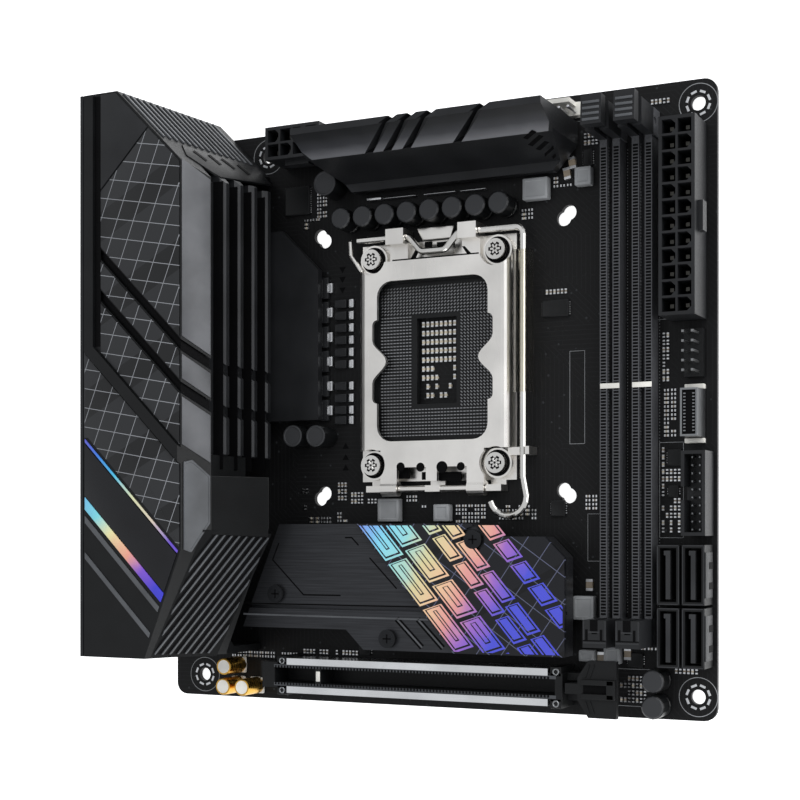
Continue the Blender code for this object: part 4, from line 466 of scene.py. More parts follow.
@dataclass(frozen=True)
class TwoLevel(Finish):
    """A moulded base with a second stuff above a level, such as pins that stand in a header."""

    level: float = 2.5
    upper_colour: str = "#d8a94c"
    upper_metallic: float = 1.0
    upper_roughness: float = 0.25
    grain: float = 0.4
    lifts: Spot = (0.8, 1.2)
    pitting: float = 0.3
    depth: float = 0.02

    def paint(self, tree: Tree, shader: Node, place: Wire) -> None:
        """Switches colour, metal and gloss at the level, and adds a grain."""
        height = add_node(tree, "SeparateXYZ", {"Vector": place})
        level = Bench.to_frame((0.0, 0.0, self.level)).z
        above = add_node(tree, "Math", {0: height.outputs["Z"], 1: level}, operation="GREATER_THAN")
        grain = add_node(tree, "TexNoise", {"Vector": place, "Scale": per_mm(self.grain), "Detail": 3.0})
        base = add_node(tree, "ValToRGB", {"Fac": grain.outputs["Fac"]}, self.shades(self.lifts))
        tint = add_node(tree, "MixRGB", {
            "Fac": above.outputs["Value"], "Color1": base.outputs["Color"],
            "Color2": linear(self.upper_colour)})
        metal = add_node(tree, "Math", {0: above.outputs["Value"], 1: self.upper_metallic},
                         operation="MULTIPLY")
        gloss = add_node(tree, "MapRange", {
            "Value": above.outputs["Value"], "To Min": self.roughness, "To Max": self.upper_roughness})
        bump = add_node(tree, "Bump", {
            "Height": grain.outputs["Fac"], "Strength": self.pitting, "Distance": self.depth * MM})
        link_all(tree, shader, {"Base Color": tint.outputs["Color"], "Metallic": metal.outputs["Value"],
                                "Roughness": gloss.outputs["Result"], "Normal": bump.outputs["Normal"]})


@dataclass(frozen=True)
class ClearSleeve(Finish):
    """Clear heat-shrunk sleeve: faint yellow, lets the wire show through, with soft ripples."""

    bending: float = 1.08
    ripple: float = 2.5
    reach: float = 0.1
    relief: float = 0.3
    depth: float = 0.1

    def paint(self, tree: Tree, shader: Node, place: Wire) -> None:
        """Makes the shader clear and adds ripples."""
        shader.inputs["Transmission Weight"].default_value = 1.0
        shader.inputs["IOR"].default_value = self.bending
        ripple = add_node(tree, "TexNoise", {"Vector": place, "Scale": per_mm(self.ripple), "Detail": 2.0})
        gloss = add_node(tree, "MapRange", {"Value": ripple.outputs["Fac"], **self.gloss(self.reach)})
        bump = add_node(tree, "Bump", {
            "Height": ripple.outputs["Fac"], "Strength": self.relief, "Distance": self.depth * MM})
        link_all(tree, shader, {"Roughness": gloss.outputs["Result"], "Normal": bump.outputs["Normal"]})


# Board stuffs. The mask is nearly black and dull, and the ink on it is a soft grey-white.
MASK = SolderMask("matte_black_solder_mask", "board_lacquer", "#0d0d0e", 0.5, specular=0.2)
INK = Moulded("screen_printed_ink", "white_plastic", "#8f9193", 0.6, specular=0.2)
TIN = Plated("tinned_copper_pad", "bright_steel", "#dcdddf", 0.34, 1.0)

# Plastics. Glass-filled nylon is dull with a faint sparkle, and the cover's ABS is a smoother satin.
NYLON = Moulded("glass_filled_nylon_black", "black_plastic", "#0e0f10", 0.48, specular=0.25)
TEETH_NYLON = Moulded("glass_filled_nylon_teeth", "grey_plastic", "#434548", 0.45, specular=0.3)
PLUG_NYLON = Moulded("glass_filled_nylon_dark", "grey_plastic", "#1a1b1d", 0.44, specular=0.3)
SLOT_NYLON = TwoLevel("glass_filled_nylon_rails", "grey_plastic", "#4a4b4e", 0.45, specular=0.3, level=6.1,
                      upper_colour="#1a1b1d", upper_metallic=0.0, upper_roughness=0.45)
WHITE_NYLON = Moulded("natural_white_nylon", "white_plastic", "#dcdad3", 0.4)
COVER_ABS = Moulded("satin_black_abs", "black_plastic", "#0f1011", 0.42, specular=0.22, grain=0.5,
                    depth=0.012)
DULL_ABS = Moulded("dull_black_abs", "black_plastic", "#0e0f10", 0.6, specular=0.12)
# Near black for painted shade in gaps, slots, notches, holes, windows and recesses, and for dark ink marks.
PAINTED_SHADE_AND_DARK_INK = Moulded("shadowed_black_abs", "black_plastic", "#050506", 0.65, specular=0.08)
FACE_PAINT = Moulded("satin_grey_face_sheet", "brushed_grey", "#4f5053", 0.42, 0.2, grain=0.3, depth=0.01)
PANEL_PRINT = Lattice("printed_lattice_panel", "black_plastic", "#242527", 0.42, specular=0.34)
BAND_GLOSS = Moulded("gloss_black_band", "black_plastic", "#0b0c10", 0.24, specular=0.35, spread=0.08)
RIDGE_PAINT = Moulded("dim_ridge_paint", "brushed_grey", "#4e5053", 0.45, specular=0.3)
# Painted highlight: lighter grey on the edges of ribs, latch ribs and steps.
RIB_SHEEN = Moulded("painted_highlight_rib_edges", "grey_plastic", "#4b4d50", 0.4, specular=0.4)
# Painted highlight: lighter grey on nylon rims, edges, blades and the cover's rear bevel.
NYLON_EDGE_HIGHLIGHT = Moulded("painted_highlight_nylon_edges", "grey_plastic", "#2b2c2e", 0.45, specular=0.3)
TONGUE_BLUE = Moulded("blue_port_nylon", "grey_plastic", "#2a5f9a", 0.42)

# Metals. Nickel plate is warm and satin, tin is cold, and black anodising keeps a soft metal sheen.
NICKEL = Plated("satin_nickel_plate", "nickel_steel", "#efece7", 0.3, 1.0, spread=0.06)
BRIGHT = Plated("bright_rolled_steel", "bright_steel", "#dedcd8", 0.2, 1.0)
RAIL = Plated("polished_rail_steel", "bright_steel", "#e6e7e8", 0.24, 1.0, axis=Axis.ALONG_X, streak=0.25)
DARK_STEEL = Plated("blackened_steel", "dark_steel", "#2c2d2f", 0.4, 0.9)
LEAF = Plated("plated_contact_leaf", "dark_steel", "#8b8c8e", 0.34, 1.0)
SHELL_TIN = Plated("tinned_steel_shell", "bright_steel", "#8f9193", 0.36, 1.0)
GOLD = Plated("gold_flash_contact", "gold_plate", "#d6a84e", 0.28, 1.0)
ANODISED = Moulded("black_anodised_aluminium", "black_anodised", "#232426", 0.38, 0.45, 0.4, grain=0.25,
                   depth=0.01)
BRUSHED = Brushed("brushed_gunmetal_aluminium", "brushed_grey", "#343538", 0.4, 0.7, contrast=0.28)

# Small parts. Ferrite is chalky grey, ceramic is tan, and chip epoxy is flat black.
FERRITE = Moulded("pressed_ferrite_powder", "grey_plastic", "#8c8e90", 0.6, grain=0.2, depth=0.03)
EPOXY = Moulded("chip_epoxy", "silicon_package", "#121314", 0.5, specular=0.25, grain=0.15)
CERAMIC = Moulded("fired_tan_ceramic", "white_plastic", "#7d7263", 0.42)
CREAM = Moulded("fired_cream_ceramic", "white_plastic", "#b3aa98", 0.42)
GLAZE = Moulded("black_resistor_glaze", "black_plastic", "#0c0d0e", 0.3, specular=0.3)
CAN = TwoLevel("black_capacitor_can", "capacitor_black", "#0d0e0f", 0.35, specular=0.3, level=7.7,
               upper_colour="#37383a", upper_metallic=0.3, upper_roughness=0.5)
PINS_IN_NYLON = TwoLevel("tinned_pins_in_black_nylon", "black_plastic", "#0e0f10", 0.45, specular=0.25,
                         level=2.5, upper_colour="#8b8c8d", upper_roughness=0.3)
PLUG_PINS = TwoLevel("tinned_plug_pins", "gold_plate", "#0c0d0e", 0.5, specular=0.2, level=1.4,
                     upper_colour="#4c4b47", upper_roughness=0.4)
SLEEVE = ClearSleeve("clear_yellowed_sleeve", "clear_plastic", "#f6f4ec", 0.12)
SHEET_PRINT = Lattice("printed_gloss_sheet", "printed_sheet", "#121318", 0.34, specular=0.3,
                      line_colour="#565a70", pitch=6.0, line=0.22, turns=(35.0, 125.0), stripe=2.0)


class Bench:
    """The hand tools. A piece is modelled in board millimetres, with its place in its mesh."""

    level_normal = 0.99
    same_height = 1e-4
    bar_root = 0.05
    drive_heights = (-0.2, 0.05)
    drive_bevel = 0.06
    ring_sides = (40, 6)

    @staticmethod
    def origin() -> Vector:
        """Returns the middle of the circuit board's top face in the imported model's frame."""
        low, high = (Vector(corner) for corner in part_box("pcb"))
        return Vector(((low.x + high.x) / 2, (low.y + high.y) / 2, high.z))

    @staticmethod
    def to_frame(spot: Corner) -> Vector:
        """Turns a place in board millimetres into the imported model's frame in metres."""
        return Vector(spot) * MM + Bench.origin()

    @staticmethod
    def node_box(node: str) -> tuple[Vector, Vector]:
        """Returns a solid's lowest and highest corner in board millimetres."""
        low, high = (Vector(corner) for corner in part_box(node))
        return (low - Bench.origin()) / MM, (high - Bench.origin()) / MM

    @staticmethod
    def footprint(node: str) -> Patch:
        """Returns the rectangle of the board that a solid stands over."""
        low, high = Bench.node_box(node)
        return Patch(low.x, low.y, high.x, high.y)

    @staticmethod
    def pick(piece: Piece) -> None:
        """Makes a piece the active one and the only one selected.

        Args:
            piece: Piece to pick.
        """
        bpy.ops.object.select_all(action="DESELECT")
        piece.select_set(True)
        bpy.context.view_layer.objects.active = piece

    @staticmethod
    def slice_open(cuts: Iterable[Cut]) -> None:
        """Slices the piece in edit mode by planes.

        Args:
            cuts: Planes, each a point and the side that is cut away.
        """
        for point, outward in cuts:
            bpy.ops.mesh.select_all(action="SELECT")
            bpy.ops.mesh.bisect(plane_co=point, plane_no=Vector(outward).normalized(), use_fill=True,
                                clear_outer=True)

    @staticmethod
    def tile(patch: Patch, low: float, high: float, bevel: float = 0.0) -> Piece:
        """Models a block over a rectangle, from one height to another."""
        return Bench.block((patch.west, patch.south, low), (patch.east, patch.north, high), bevel)

    @staticmethod
    def line(start: Spot, end: Spot, level: float, width: float, rise: float) -> Piece:
        """Models a straight raised line on a level face."""
        return Bench.bar((*start, level), (*end, level), width, rise)

    @staticmethod
    def frame(corners: Sequence[Spot], level: float, width: float, rise: float) -> list[Piece]:
        """Models the raised lines between corners on a level face."""
        return [Bench.line(a, b, level, width, rise) for a, b in neighbours(corners)]

    @staticmethod
    def block(low: Corner, high: Corner, bevel: float = 0.0, cuts: Sequence[Cut] = (),
              segments: int = 2) -> Piece:
        """Models a block, slices it by planes and bevels its edges.

        Args:
            low: Lowest corner.
            high: Highest corner.
            bevel: Width of the bevel on every edge, or 0 for none.
            cuts: Planes, each a point and the direction of the side that is cut away.
            segments: Steps in the bevel.

        Returns:
            The block.
        """
        bpy.ops.object.select_all(action="DESELECT")
        bpy.ops.mesh.primitive_cube_add(size=1.0)
        piece = bpy.context.object
        bpy.ops.object.mode_set(mode="EDIT")
        bpy.ops.transform.resize(value=Vector(high) - Vector(low))
        bpy.ops.transform.translate(value=(Vector(high) + Vector(low)) / 2)
        Bench.slice_open(cuts)
        if bevel:
            bpy.ops.mesh.select_all(action="SELECT")
            bpy.ops.mesh.bevel(offset=bevel, segments=segments, affect="EDGES")
        bpy.ops.object.mode_set(mode="OBJECT")
        return piece

    @staticmethod
    def plate(outline: Sequence[Spot], low: float, high: float, bevel: float = 0.0) -> Piece:
        """Models a plate with an outline that bulges outwards everywhere.

        Args:
            outline: Corners, anticlockwise.
            low: Height of its underside.
            high: Height of its top.
            bevel: Width of the bevel on every edge.

        Returns:
            The plate.
        """
        cuts = []
        for (x0, y0), (x1, y1) in neighbours(outline):
            if x0 != x1 and y0 != y1:
                cuts.append(((x0, y0, low), (y1 - y0, x0 - x1, 0.0)))
        wide, deep = zip(*outline)
        return Bench.block((min(wide), min(deep), low), (max(wide), max(deep), high), bevel, cuts)

    @staticmethod
    def can(middle: Corner, radius: float, height: float, rim: float, sides: int = 32) -> Piece:
        """Models a round can with a bevelled edge and a sunk top.

        Args:
            middle: Middle of its underside.
            radius: Outer radius.
            height: Height.
            rim: Width of the raised rim around the top.
            sides: Number of sides.

        Returns:
            The can.
        """
        bpy.ops.object.select_all(action="DESELECT")
        bpy.ops.mesh.primitive_cylinder_add(vertices=sides, radius=radius, depth=height)
        piece = bpy.context.object
        Bench.pick_top(piece)
        bpy.ops.mesh.bevel(offset=rim / 2, segments=2, affect="EDGES")
        bpy.ops.object.mode_set(mode="OBJECT")
        Bench.pick_top(piece)
        bpy.ops.mesh.inset(thickness=rim / 2, depth=0.0)
        bpy.ops.mesh.inset(thickness=rim / 4, depth=-rim / 3)
        bpy.ops.object.mode_set(mode="OBJECT")
        piece.data.transform(Matrix.Translation(Vector(middle) + Vector((0, 0, height / 2))))
        return piece

    @staticmethod
    def pick_top(piece: Piece) -> None:
        """Opens a piece in edit mode with only its topmost level face selected.

        Args:
            piece: Piece to open.
        """
        bpy.context.view_layer.objects.active = piece
        bpy.ops.object.mode_set(mode="EDIT")
        bpy.ops.mesh.select_mode(type="FACE")
        bpy.ops.mesh.select_all(action="DESELECT")
        bpy.ops.object.mode_set(mode="OBJECT")
        top = max(face.center.z for face in piece.data.polygons)
        for face in piece.data.polygons:
            face.select = face.normal.z > Bench.level_normal and face.center.z > top - Bench.same_height
        bpy.ops.object.mode_set(mode="EDIT")

    @staticmethod
    def sink_top(piece: Piece, rim: float, depth: float) -> Piece:
        """Insets a piece's top face and sinks it.

        Args:
            piece: Piece to change.
            rim: Width that stays around it.
            depth: How far it sinks.

        Returns:
            The same piece.
        """
        Bench.pick_top(piece)
        bpy.ops.mesh.inset(thickness=rim, depth=0.0)
        bpy.ops.mesh.inset(thickness=rim / 4, depth=-depth)
        bpy.ops.object.mode_set(mode="OBJECT")
        return piece

    @staticmethod
    def ring(middle: Corner, radius: float, wire: float, flat: float = 0.3) -> Piece:
        """Models a flattened ring.

        Args:
            middle: Its middle.
            radius: Radius of the wire's centre line.
            wire: Radius of the wire.
            flat: Share of the wire's height that is kept.

        Returns:
            The ring.
        """
        bpy.ops.object.select_all(action="DESELECT")
        bpy.ops.mesh.primitive_torus_add(major_radius=radius, minor_radius=wire,
                                         major_segments=Bench.ring_sides[0],
                                         minor_segments=Bench.ring_sides[1])
        piece = bpy.context.object
        bpy.ops.object.mode_set(mode="EDIT")
        bpy.ops.transform.resize(value=(1.0, 1.0, flat))
        bpy.ops.transform.translate(value=middle)
        bpy.ops.object.mode_set(mode="OBJECT")
        return piece

    @staticmethod
    def bar(start: Corner, end: Corner, width: float, rise: float, facing: Corner = (0.0, 0.0, 1.0),
            bevel: float = 0.0) -> Piece:
        """Models a straight bar that lies on a surface.

        Args:
            start: Its first end, on the surface.
            end: Its other end, on the surface.
            width: Its width across the surface.
            rise: How far it stands out of the surface.
            facing: The surface's outward direction.
            bevel: Width of the bevel on every edge.

        Returns:
            The bar.
        """
        run = Vector(end) - Vector(start)
        along = run.normalized()
        across = Vector(facing).normalized().cross(along)
        piece = Bench.block((0.0, -width / 2, -Bench.bar_root), (run.length, width / 2, rise), bevel)
        return Bench.lay(piece, start, along, across)

    @staticmethod
    def lay(piece: Piece, origin: Corner, along: Corner, across: Corner) -> Piece:
        """Moves a piece from its own x, y and z to an origin and two directions.

        Args:
            piece: Piece modelled around its own origin.
            origin: Where its own origin goes.
            along: Direction of its own x.
            across: Direction of its own y.

        Returns:
            The piece.
        """
        x, y = Vector(along).normalized(), Vector(across).normalized()
        turn = Matrix((x, y, x.cross(y))).transposed().to_4x4()
        piece.data.transform(Matrix.Translation(Vector(origin)) @ turn)
        return piece

    @staticmethod
    def trim(piece: Piece, cuts: Iterable[Cut]) -> Piece:
        """Slices a piece by planes.

        Args:
            piece: Piece to slice.
            cuts: Planes, each a point and the side that is cut away.

        Returns:
            The same piece.
        """
        bpy.context.view_layer.objects.active = piece
        bpy.ops.object.mode_set(mode="EDIT")
        Bench.slice_open(cuts)
        bpy.ops.object.mode_set(mode="OBJECT")
        return piece

    @staticmethod
    def facet(corners: Sequence[Corner], low: float, high: float, bevel: float = 0.0) -> Piece:
        """Models a thin plate over corners that lie on one plane.

        Args:
            corners: Corners, anticlockwise as seen from outside.
            low: Height of its underside above that plane.
            high: Height of its top above that plane.
            bevel: Width of the bevel on every edge.

        Returns:
            The plate.
        """
        first = Vector(corners[0])
        along = (Vector(corners[1]) - first).normalized()
        across = along.cross(Vector(corners[2]) - first).cross(along).normalized()
        outline = [((Vector(spot) - first).dot(along), (Vector(spot) - first).dot(across))
                   for spot in corners]
        return Bench.lay(Bench.plate(outline, low, high, bevel), first, along, across)

    @staticmethod
    def edges(corners: Sequence[Corner]) -> list[Cut]:
        """Finds the planes that slice away all that lies outside corners.

        Args:
            corners: Corners on one plane.

        Returns:
            The planes, one for each edge.
        """
        spots = [Vector(spot) for spot in corners]
        facing = (spots[1] - spots[0]).cross(spots[2] - spots[0])
        return [(tuple(a), tuple((b - a).cross(facing))) for a, b in neighbours(spots)]

    @staticmethod
    def drive(middle: Corner, reach: float, width: float, bars: int) -> Piece:
        """Models the lobes of a screw's drive as crossed bars.

        Args:
            middle: Middle of the drive at the head's top.
            reach: Radius of the lobes.
            width: Width of a lobe.
            bars: Number of crossed bars.

        Returns:
            The joined bars.
        """
        low, high = Bench.drive_heights
        bar = Bench.block((-reach, -width / 2, low), (reach, width / 2, high), Bench.drive_bevel, segments=1)
        turns = [Matrix.Rotation(math.pi * number / bars, 4, "Z") for number in range(bars)]
        return Bench.copies(bar, [Matrix.Translation(middle) @ turn for turn in turns])

    @staticmethod
    def row(piece: Piece, count: int, step: Corner) -> Piece:
        """Repeats a piece in a row of its own mesh.

        Args:
            piece: Piece to repeat.
            count: How many there are in the row.
            step: Move from each to the next.

        Returns:
            The same piece.
        """
        array = piece.modifiers.new("Row", "ARRAY")
        array.count = count
        array.use_relative_offset = False
        array.use_constant_offset = True
        array.constant_offset_displace = step
        bpy.context.view_layer.objects.active = piece
        bpy.ops.object.modifier_apply(modifier=array.name)
        return piece

    @staticmethod
    def copies(pattern: Piece, places: Iterable[Matrix]) -> Piece:
        """Copies a pattern to many places, joins the copies and removes the pattern.

        Args:
            pattern: Piece modelled around its own origin.
            places: Where each copy goes.

        Returns:
            The joined copies.
        """
        made = []
        for place in places:
            copy = pattern.copy()
            copy.data = pattern.data.copy()
            copy.data.transform(place)
            bpy.context.collection.objects.link(copy)
            made.append(copy)
        bpy.data.objects.remove(pattern)
        return Bench.join(made)

    @staticmethod
    def join(pieces: Sequence[Piece]) -> Piece:
        """Joins pieces into the first of them.

        Args:
            pieces: Pieces to join.

        Returns:
            The first piece.
        """
        bpy.ops.object.select_all(action="DESELECT")
        for piece in pieces:
            piece.select_set(True)
        bpy.context.view_layer.objects.active = pieces[0]
        if len(pieces) > 1:
            bpy.ops.object.join()
        return pieces[0]

    @staticmethod
    def paint(piece: Piece, finish: Finish) -> Piece:
        """Gives a piece one finish all over.

        Args:
            piece: Piece to paint.
            finish: Its finish.

        Returns:
            The same piece.
        """
        piece.data.materials.clear()
        piece.data.materials.append(finish.material())
        return piece

    @staticmethod
    def settle(made: Piece | list[Piece], name: str, finish: Finish, body: Body = Body.BOARD,
               keep_paint: bool = False) -> None:
        """Joins, names, places, dresses and mounts a finished piece.

        Args:
            made: Piece in board millimetres, or a list of pieces that make it up.
            name: Its name.
            finish: Its finish.
            body: The body that it rides on.
            keep_paint: True where its parts have been painted already.
        """
        piece = Bench.join(made) if isinstance(made, list) else made
        piece.name = name
        piece.data.name = name
        piece.data.transform(Matrix.Translation(Bench.origin()) @ Matrix.Scale(MM, 4))
        if not keep_paint:
            Bench.paint(piece, finish)
        Bench.pick(piece)
        bpy.ops.object.shade_smooth_by_angle(angle=SMOOTH_ANGLE)
        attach(piece, body.value)
        LOG.info("%s rides on %s in %s", name, body.value, finish.name)


@dataclass(frozen=True)
class Patch:
    """A rectangle of the board."""

    west: float
    south: float
    east: float
    north: float

    @staticmethod
    def around(x: float, y: float, wide: float, deep: float) -> Patch:
        """Returns the rectangle that reaches out from a middle by half its width and depth."""
        return Patch(x - wide, y - deep, x + wide, y + deep)

    def corners(self, inset: float = 0.0) -> list[Spot]:
        """Finds the corners of the patch.

        Args:
            inset: How far they are moved in.

        Returns:
            The corners, anticlockwise from the south-west.
        """
        west, south = self.west + inset, self.south + inset
        east, north = self.east - inset, self.north - inset
        return [(west, south), (east, south), (east, north), (west, north)]

    def meets(self, other: Patch, gap: float) -> bool:
        """Tells whether another rectangle comes closer than a gap."""
        return (self.west < other.east + gap and other.west < self.east + gap
                and self.south < other.north + gap and other.south < self.north + gap)


@dataclass
class BoardFace:
    """What is printed on and soldered flat to the board's top face."""

    ink: float = 0.03
    mount_holes: tuple[Spot, ...] = ((80.01, 78.74), (80.01, -78.74), (-74.93, -78.74), (-52.07, 78.74))
    ring_radius: float = 5.2
    pad_radius: float = 3.1
    pad_count: int = 8
    outlines: tuple[Patch, ...] = (
        Patch(44.1, -10.7, 48.4, 14.8), Patch(49.3, -42.9, 52.8, -30.0), Patch(69.5, -36.5, 76.0, -11.0),
        Patch(57.5, -82.0, 68.6, -72.0), Patch(68.9, 22.0, 71.9, 71.5), Patch(37.0, 77.8, 49.0, 83.2))
    arrows_down: tuple[Spot, ...] = ((-26.8, 43.4), (-26.8, 40.5), (-26.8, 37.4))
    arrows_up: tuple[Spot, ...] = ((-25.7, -10.3), (-25.7, -13.6), (-25.7, -16.7))
    arrow: float = 1.1
    arrow_stretch: float = 1.6
    pad: Corner = (0.8, 0.32, 0.05)
    ring_wire: float = 0.09
    line_width: float = 0.11

    def build(self) -> None:
        """Builds the mount pads, the ink rings, the ink outlines and the ink arrows."""
        wide, deep, rise = self.pad
        pad = Bench.block((-wide, -deep, -SUNK), (wide, deep, rise), SUNK, segments=1)
        turns = [math.tau * (number + 0.5) / self.pad_count for number in range(self.pad_count)]
        out = placed(self.pad_radius, 0.0, turn=math.pi / 2)
        places = [placed(x, y, turn=turn) @ out for x, y in self.mount_holes for turn in turns]
        Bench.settle(Bench.copies(pad, places), "mount_pads", TIN)
        rings = [Bench.ring((x, y, 0.0), self.ring_radius, self.ring_wire) for x, y in self.mount_holes]
        Bench.settle(rings, "mount_rings", INK)
        lines = [line for box in self.outlines
                 for line in Bench.frame(box.corners(), 0.0, self.line_width, self.ink)]
        Bench.settle(lines, "ink_outlines", INK)
        marks = []
        for spots, size in ((self.arrows_down, -self.arrow), (self.arrows_up, self.arrow)):
            for x, y in spots:
                corners = [(x - size, y), (x + size, y), (x, y + self.arrow_stretch * size)]
                marks.append(Bench.plate(corners, -SUNK, self.ink))
        Bench.settle(marks, "ink_arrows", PAINTED_SHADE_AND_DARK_INK)


@dataclass
class SmallParts:
    """Chips, chokes and the fields of chip resistors and capacitors."""

    chokes: tuple[Patch, ...] = (
        Patch(-13.8, -31.9, -7.0, -25.2), Patch(4.0, -31.9, 8.9, -27.0), Patch(31.2, 57.0, 38.6, 63.0),
        Patch(46.4, 59.6, 51.1, 64.6), Patch(46.0, -58.9, 51.9, -52.4), Patch(47.6, -70.2, 52.1, -67.1),
        Patch(54.7, -70.6, 59.3, -66.0))
    choke_height: float = 3.0
    chips: tuple[Patch, ...] = (
        Patch(-45.9, 60.0, -37.5, 68.4), Patch(48.1, 65.2, 50.8, 69.7), Patch(71.8, -17.3, 75.6, -12.9),
        Patch(72.0, -25.7, 74.9, -22.5), Patch(60.8, -71.4, 65.1, -67.6), Patch(-54.6, -79.7, -48.0, -73.4),
        Patch(36.2, 24.5, 44.0, 29.1), Patch(-21.0, -70.9, -17.2, -67.0), Patch(38.8, -30.6, 43.0, -26.2))
    chip_height: float = 0.9
    fields: tuple[Patch, ...] = (
        Patch(-23.9, -26.8, -14.6, -22.5), Patch(-28.6, -33.2, -23.9, -28.6), Patch(-5.9, -26.3, -0.1, -22.8),
        Patch(-1.0, -29.2, 2.8, -26.9), Patch(9.7, -32.4, 20.3, -26.0), Patch(-50.0, -32.4, -44.0, -30.0),
        Patch(-38.0, -32.4, -29.5, -29.8), Patch(-69.0, -73.0, -40.0, -70.2),
        Patch(-40.0, -71.4, -18.5, -69.0),
        Patch(48.3, -51.4, 52.2, -46.0), Patch(48.1, 70.6, 52.8, 76.0), Patch(39.2, 60.0, 45.8, 65.4),
        Patch(62.6, 79.4, 73.9, 82.9), Patch(70.2, 5.0, 72.4, 20.5), Patch(70.5, -9.7, 75.4, 4.6),
        Patch(70.0, -35.4, 75.7, -11.0), Patch(58.4, -81.3, 66.2, -72.6), Patch(73.6, -73.0, 80.5, -71.0),
        Patch(-35.4, 58.4, -31.0, 72.6), Patch(-45.6, 55.4, -33.6, 59.0), Patch(29.8, 52.0, 35.5, 55.8),
        Patch(34.8, 30.5, 44.0, 32.5), Patch(48.5, -29.0, 52.8, -24.0), Patch(38.5, 50.0, 43.0, 55.5),
        Patch(23.0, -31.6, 36.5, -27.0), Patch(-45.8, -23.5, -33.0, -16.0), Patch(-30.5, -25.8, -25.0, -19.0),
        Patch(52.0, -83.0, 57.0, -75.0), Patch(-47.5, -28.5, -36.0, -25.0), Patch(-50.1, 70.8, -36.6, 73.0),
        Patch(-50.1, 60.4, -46.7, 70.6), Patch(60.2, -66.9, 70.2, -62.0), Patch(-12.5, -24.9, -6.5, -22.7),
        Patch(68.6, -72.0, 71.6, -60.4))
    part_length: float = 1.3
    part_width: float = 0.62
    part_height: float = 0.45
    part_end: float = 0.4
    pitch_long: float = 1.95
    pitch_across: float = 1.1
    fill: float = 0.84
    large: tuple[Corner, ...] = (
        (50.1, -49.4, 90.0), (43.6, 63.6, 100.0), (45.1, 66.4, 100.0), (60.9, -67.9, 90.0),
        (53.3, -69.2, 90.0))
    stage_rows: tuple[float, ...] = (37.4, 30.2, 22.9, 15.7, 8.4, 1.2)
    stage: Patch = Patch(-33.4, -3.1, -30.9, 3.1)
    stage_end: Patch = Patch(-31.4, -1.5, -29.5, 1.3)
    link_rows: tuple[float, ...] = (32.4, 28.9, 25.3, 21.7, 18.1, 14.6, 8.2, 4.6, 1.1, -1.9)
    link: Patch = Patch(-28.8, -1.2, -24.9, 1.2)
    link_end: Patch = Patch(-24.2, -1.2, -22.6, 1.2)
    rear_foot: Patch = Patch(-60.0, -20.0, -33.5, 54.0)
    cooler_reach: float = 38.25
    cooler_pad: float = 4.2
    near_board: Spot = (0.5, 2.2)
    choke_bevel: float = 0.35
    choke_sink: Spot = (0.5, 0.12)
    chip_foot: float = 0.12
    chip_bevel: float = 0.08
    chip_sink: Spot = (0.25, 0.04)
    lead: Corner = (0.4, 0.14, 0.2)
    lead_bevel: float = 0.04
    lead_pitch: float = 0.65
    lead_margin: float = 0.6
    lead_starts: Spot = (-0.3, -0.1)
    least_leads: int = 3
    phase_foot: float = 0.05
    phase_bevel: float = 0.15
    phase_sink: Spot = (0.25, 0.05)
    phase_margins: Spot = (1.6, 3.5)
    large_reach: Spot = (1.2, 1.9)
    clearance: float = 0.25

    def build(self, frame: dict) -> None:
        """Builds chokes, chips and the small part fields.

        Args:
            frame: The loaded frame, whose solids the small parts keep clear of.
        """
        chokes = [Bench.tile(box, 0.0, self.choke_height, self.choke_bevel) for box in self.chokes]
        Bench.settle([Bench.sink_top(piece, *self.choke_sink) for piece in chokes], "chokes", FERRITE)
        chips = [Bench.tile(box, self.chip_foot, self.chip_height, self.chip_bevel) for box in self.chips]
        Bench.settle([Bench.sink_top(piece, *self.chip_sink) for piece in chips], "chips", EPOXY)
        Bench.settle([self.leads(box) for box in self.chips], "chip_leads", TIN)
        taken = [*self.solids_on_board(frame), *self.chokes, *self.chips, self.phases()]
        taken += [Patch.around(x, y, *self.large_reach) for x, y, _ in self.large]
        choice = random.Random(SEED)
        kinds: dict[str, list[Matrix]] = {"resistors": [], "ceramics": [], "creams": []}
        for place in self.free_places(taken, choice):
            kind = choice.choice(("resistors", "resistors", "ceramics", "ceramics", "creams"))
            kinds[kind].append(place)
        part = SmallParts(part_length=3.2, part_width=1.9, part_height=1.2, part_end=0.75).part(CERAMIC)
        spots = [placed(x, y, turn=math.radians(turn)) for x, y, turn in self.large]
        Bench.settle(Bench.copies(part, spots), "large_ceramics", CERAMIC, keep_paint=True)
        for name, finish in (("resistors", GLAZE), ("ceramics", CERAMIC), ("creams", CREAM)):
            pieces = Bench.copies(self.part(finish), kinds[name])
            Bench.settle(pieces, "chip_" + name, finish, keep_paint=True)

    def solids_on_board(self, frame: dict) -> list[Patch]:
        """Finds the room that is taken on the board.


        Returns:
            Footprints of the solids that stand on the board, and of the cooler's pads.
        """
        found = [self.rear_foot]
        lowest, highest = self.near_board
        for name in frame["nodes"]:
            low, high = Bench.node_box(name)
            if name not in ("pcb", "vrm_heatsink_rear") and low.z < highest and high.z > lowest:
                found.append(Bench.footprint(name))
        (x, y), reach, pad = Socket.centre, self.cooler_reach, self.cooler_pad
        return found + [Patch.around(x + east * reach, y + north * reach, pad, pad)
                        for east in (-1, 1) for north in (-1, 1)]

    def leads(self, box: Patch) -> Piece:
        """Models the rows of leads along a chip's west and east side.

        Args:
            box: Footprint of the chip.

        Returns:
            The leads as one piece.
        """
        pitch, (long, half, high) = self.lead_pitch, self.lead
        count = max(self.least_leads, int((box.north - box.south - self.lead_margin) / pitch))
        first = (box.north + box.south - (count - 1) * pitch) / 2
        rows = []
        for x in (box.west + self.lead_starts[0], box.east + self.lead_starts[1]):
            spot = Patch(x, first - half, x + long, first + half)
            lead = Bench.block((spot.west, spot.south, 0.0), (spot.east, spot.north, high), self.lead_bevel,
                               segments=1)
            rows.append(Bench.row(lead, count, (0.0, pitch, 0.0)))
        return Bench.join(rows)

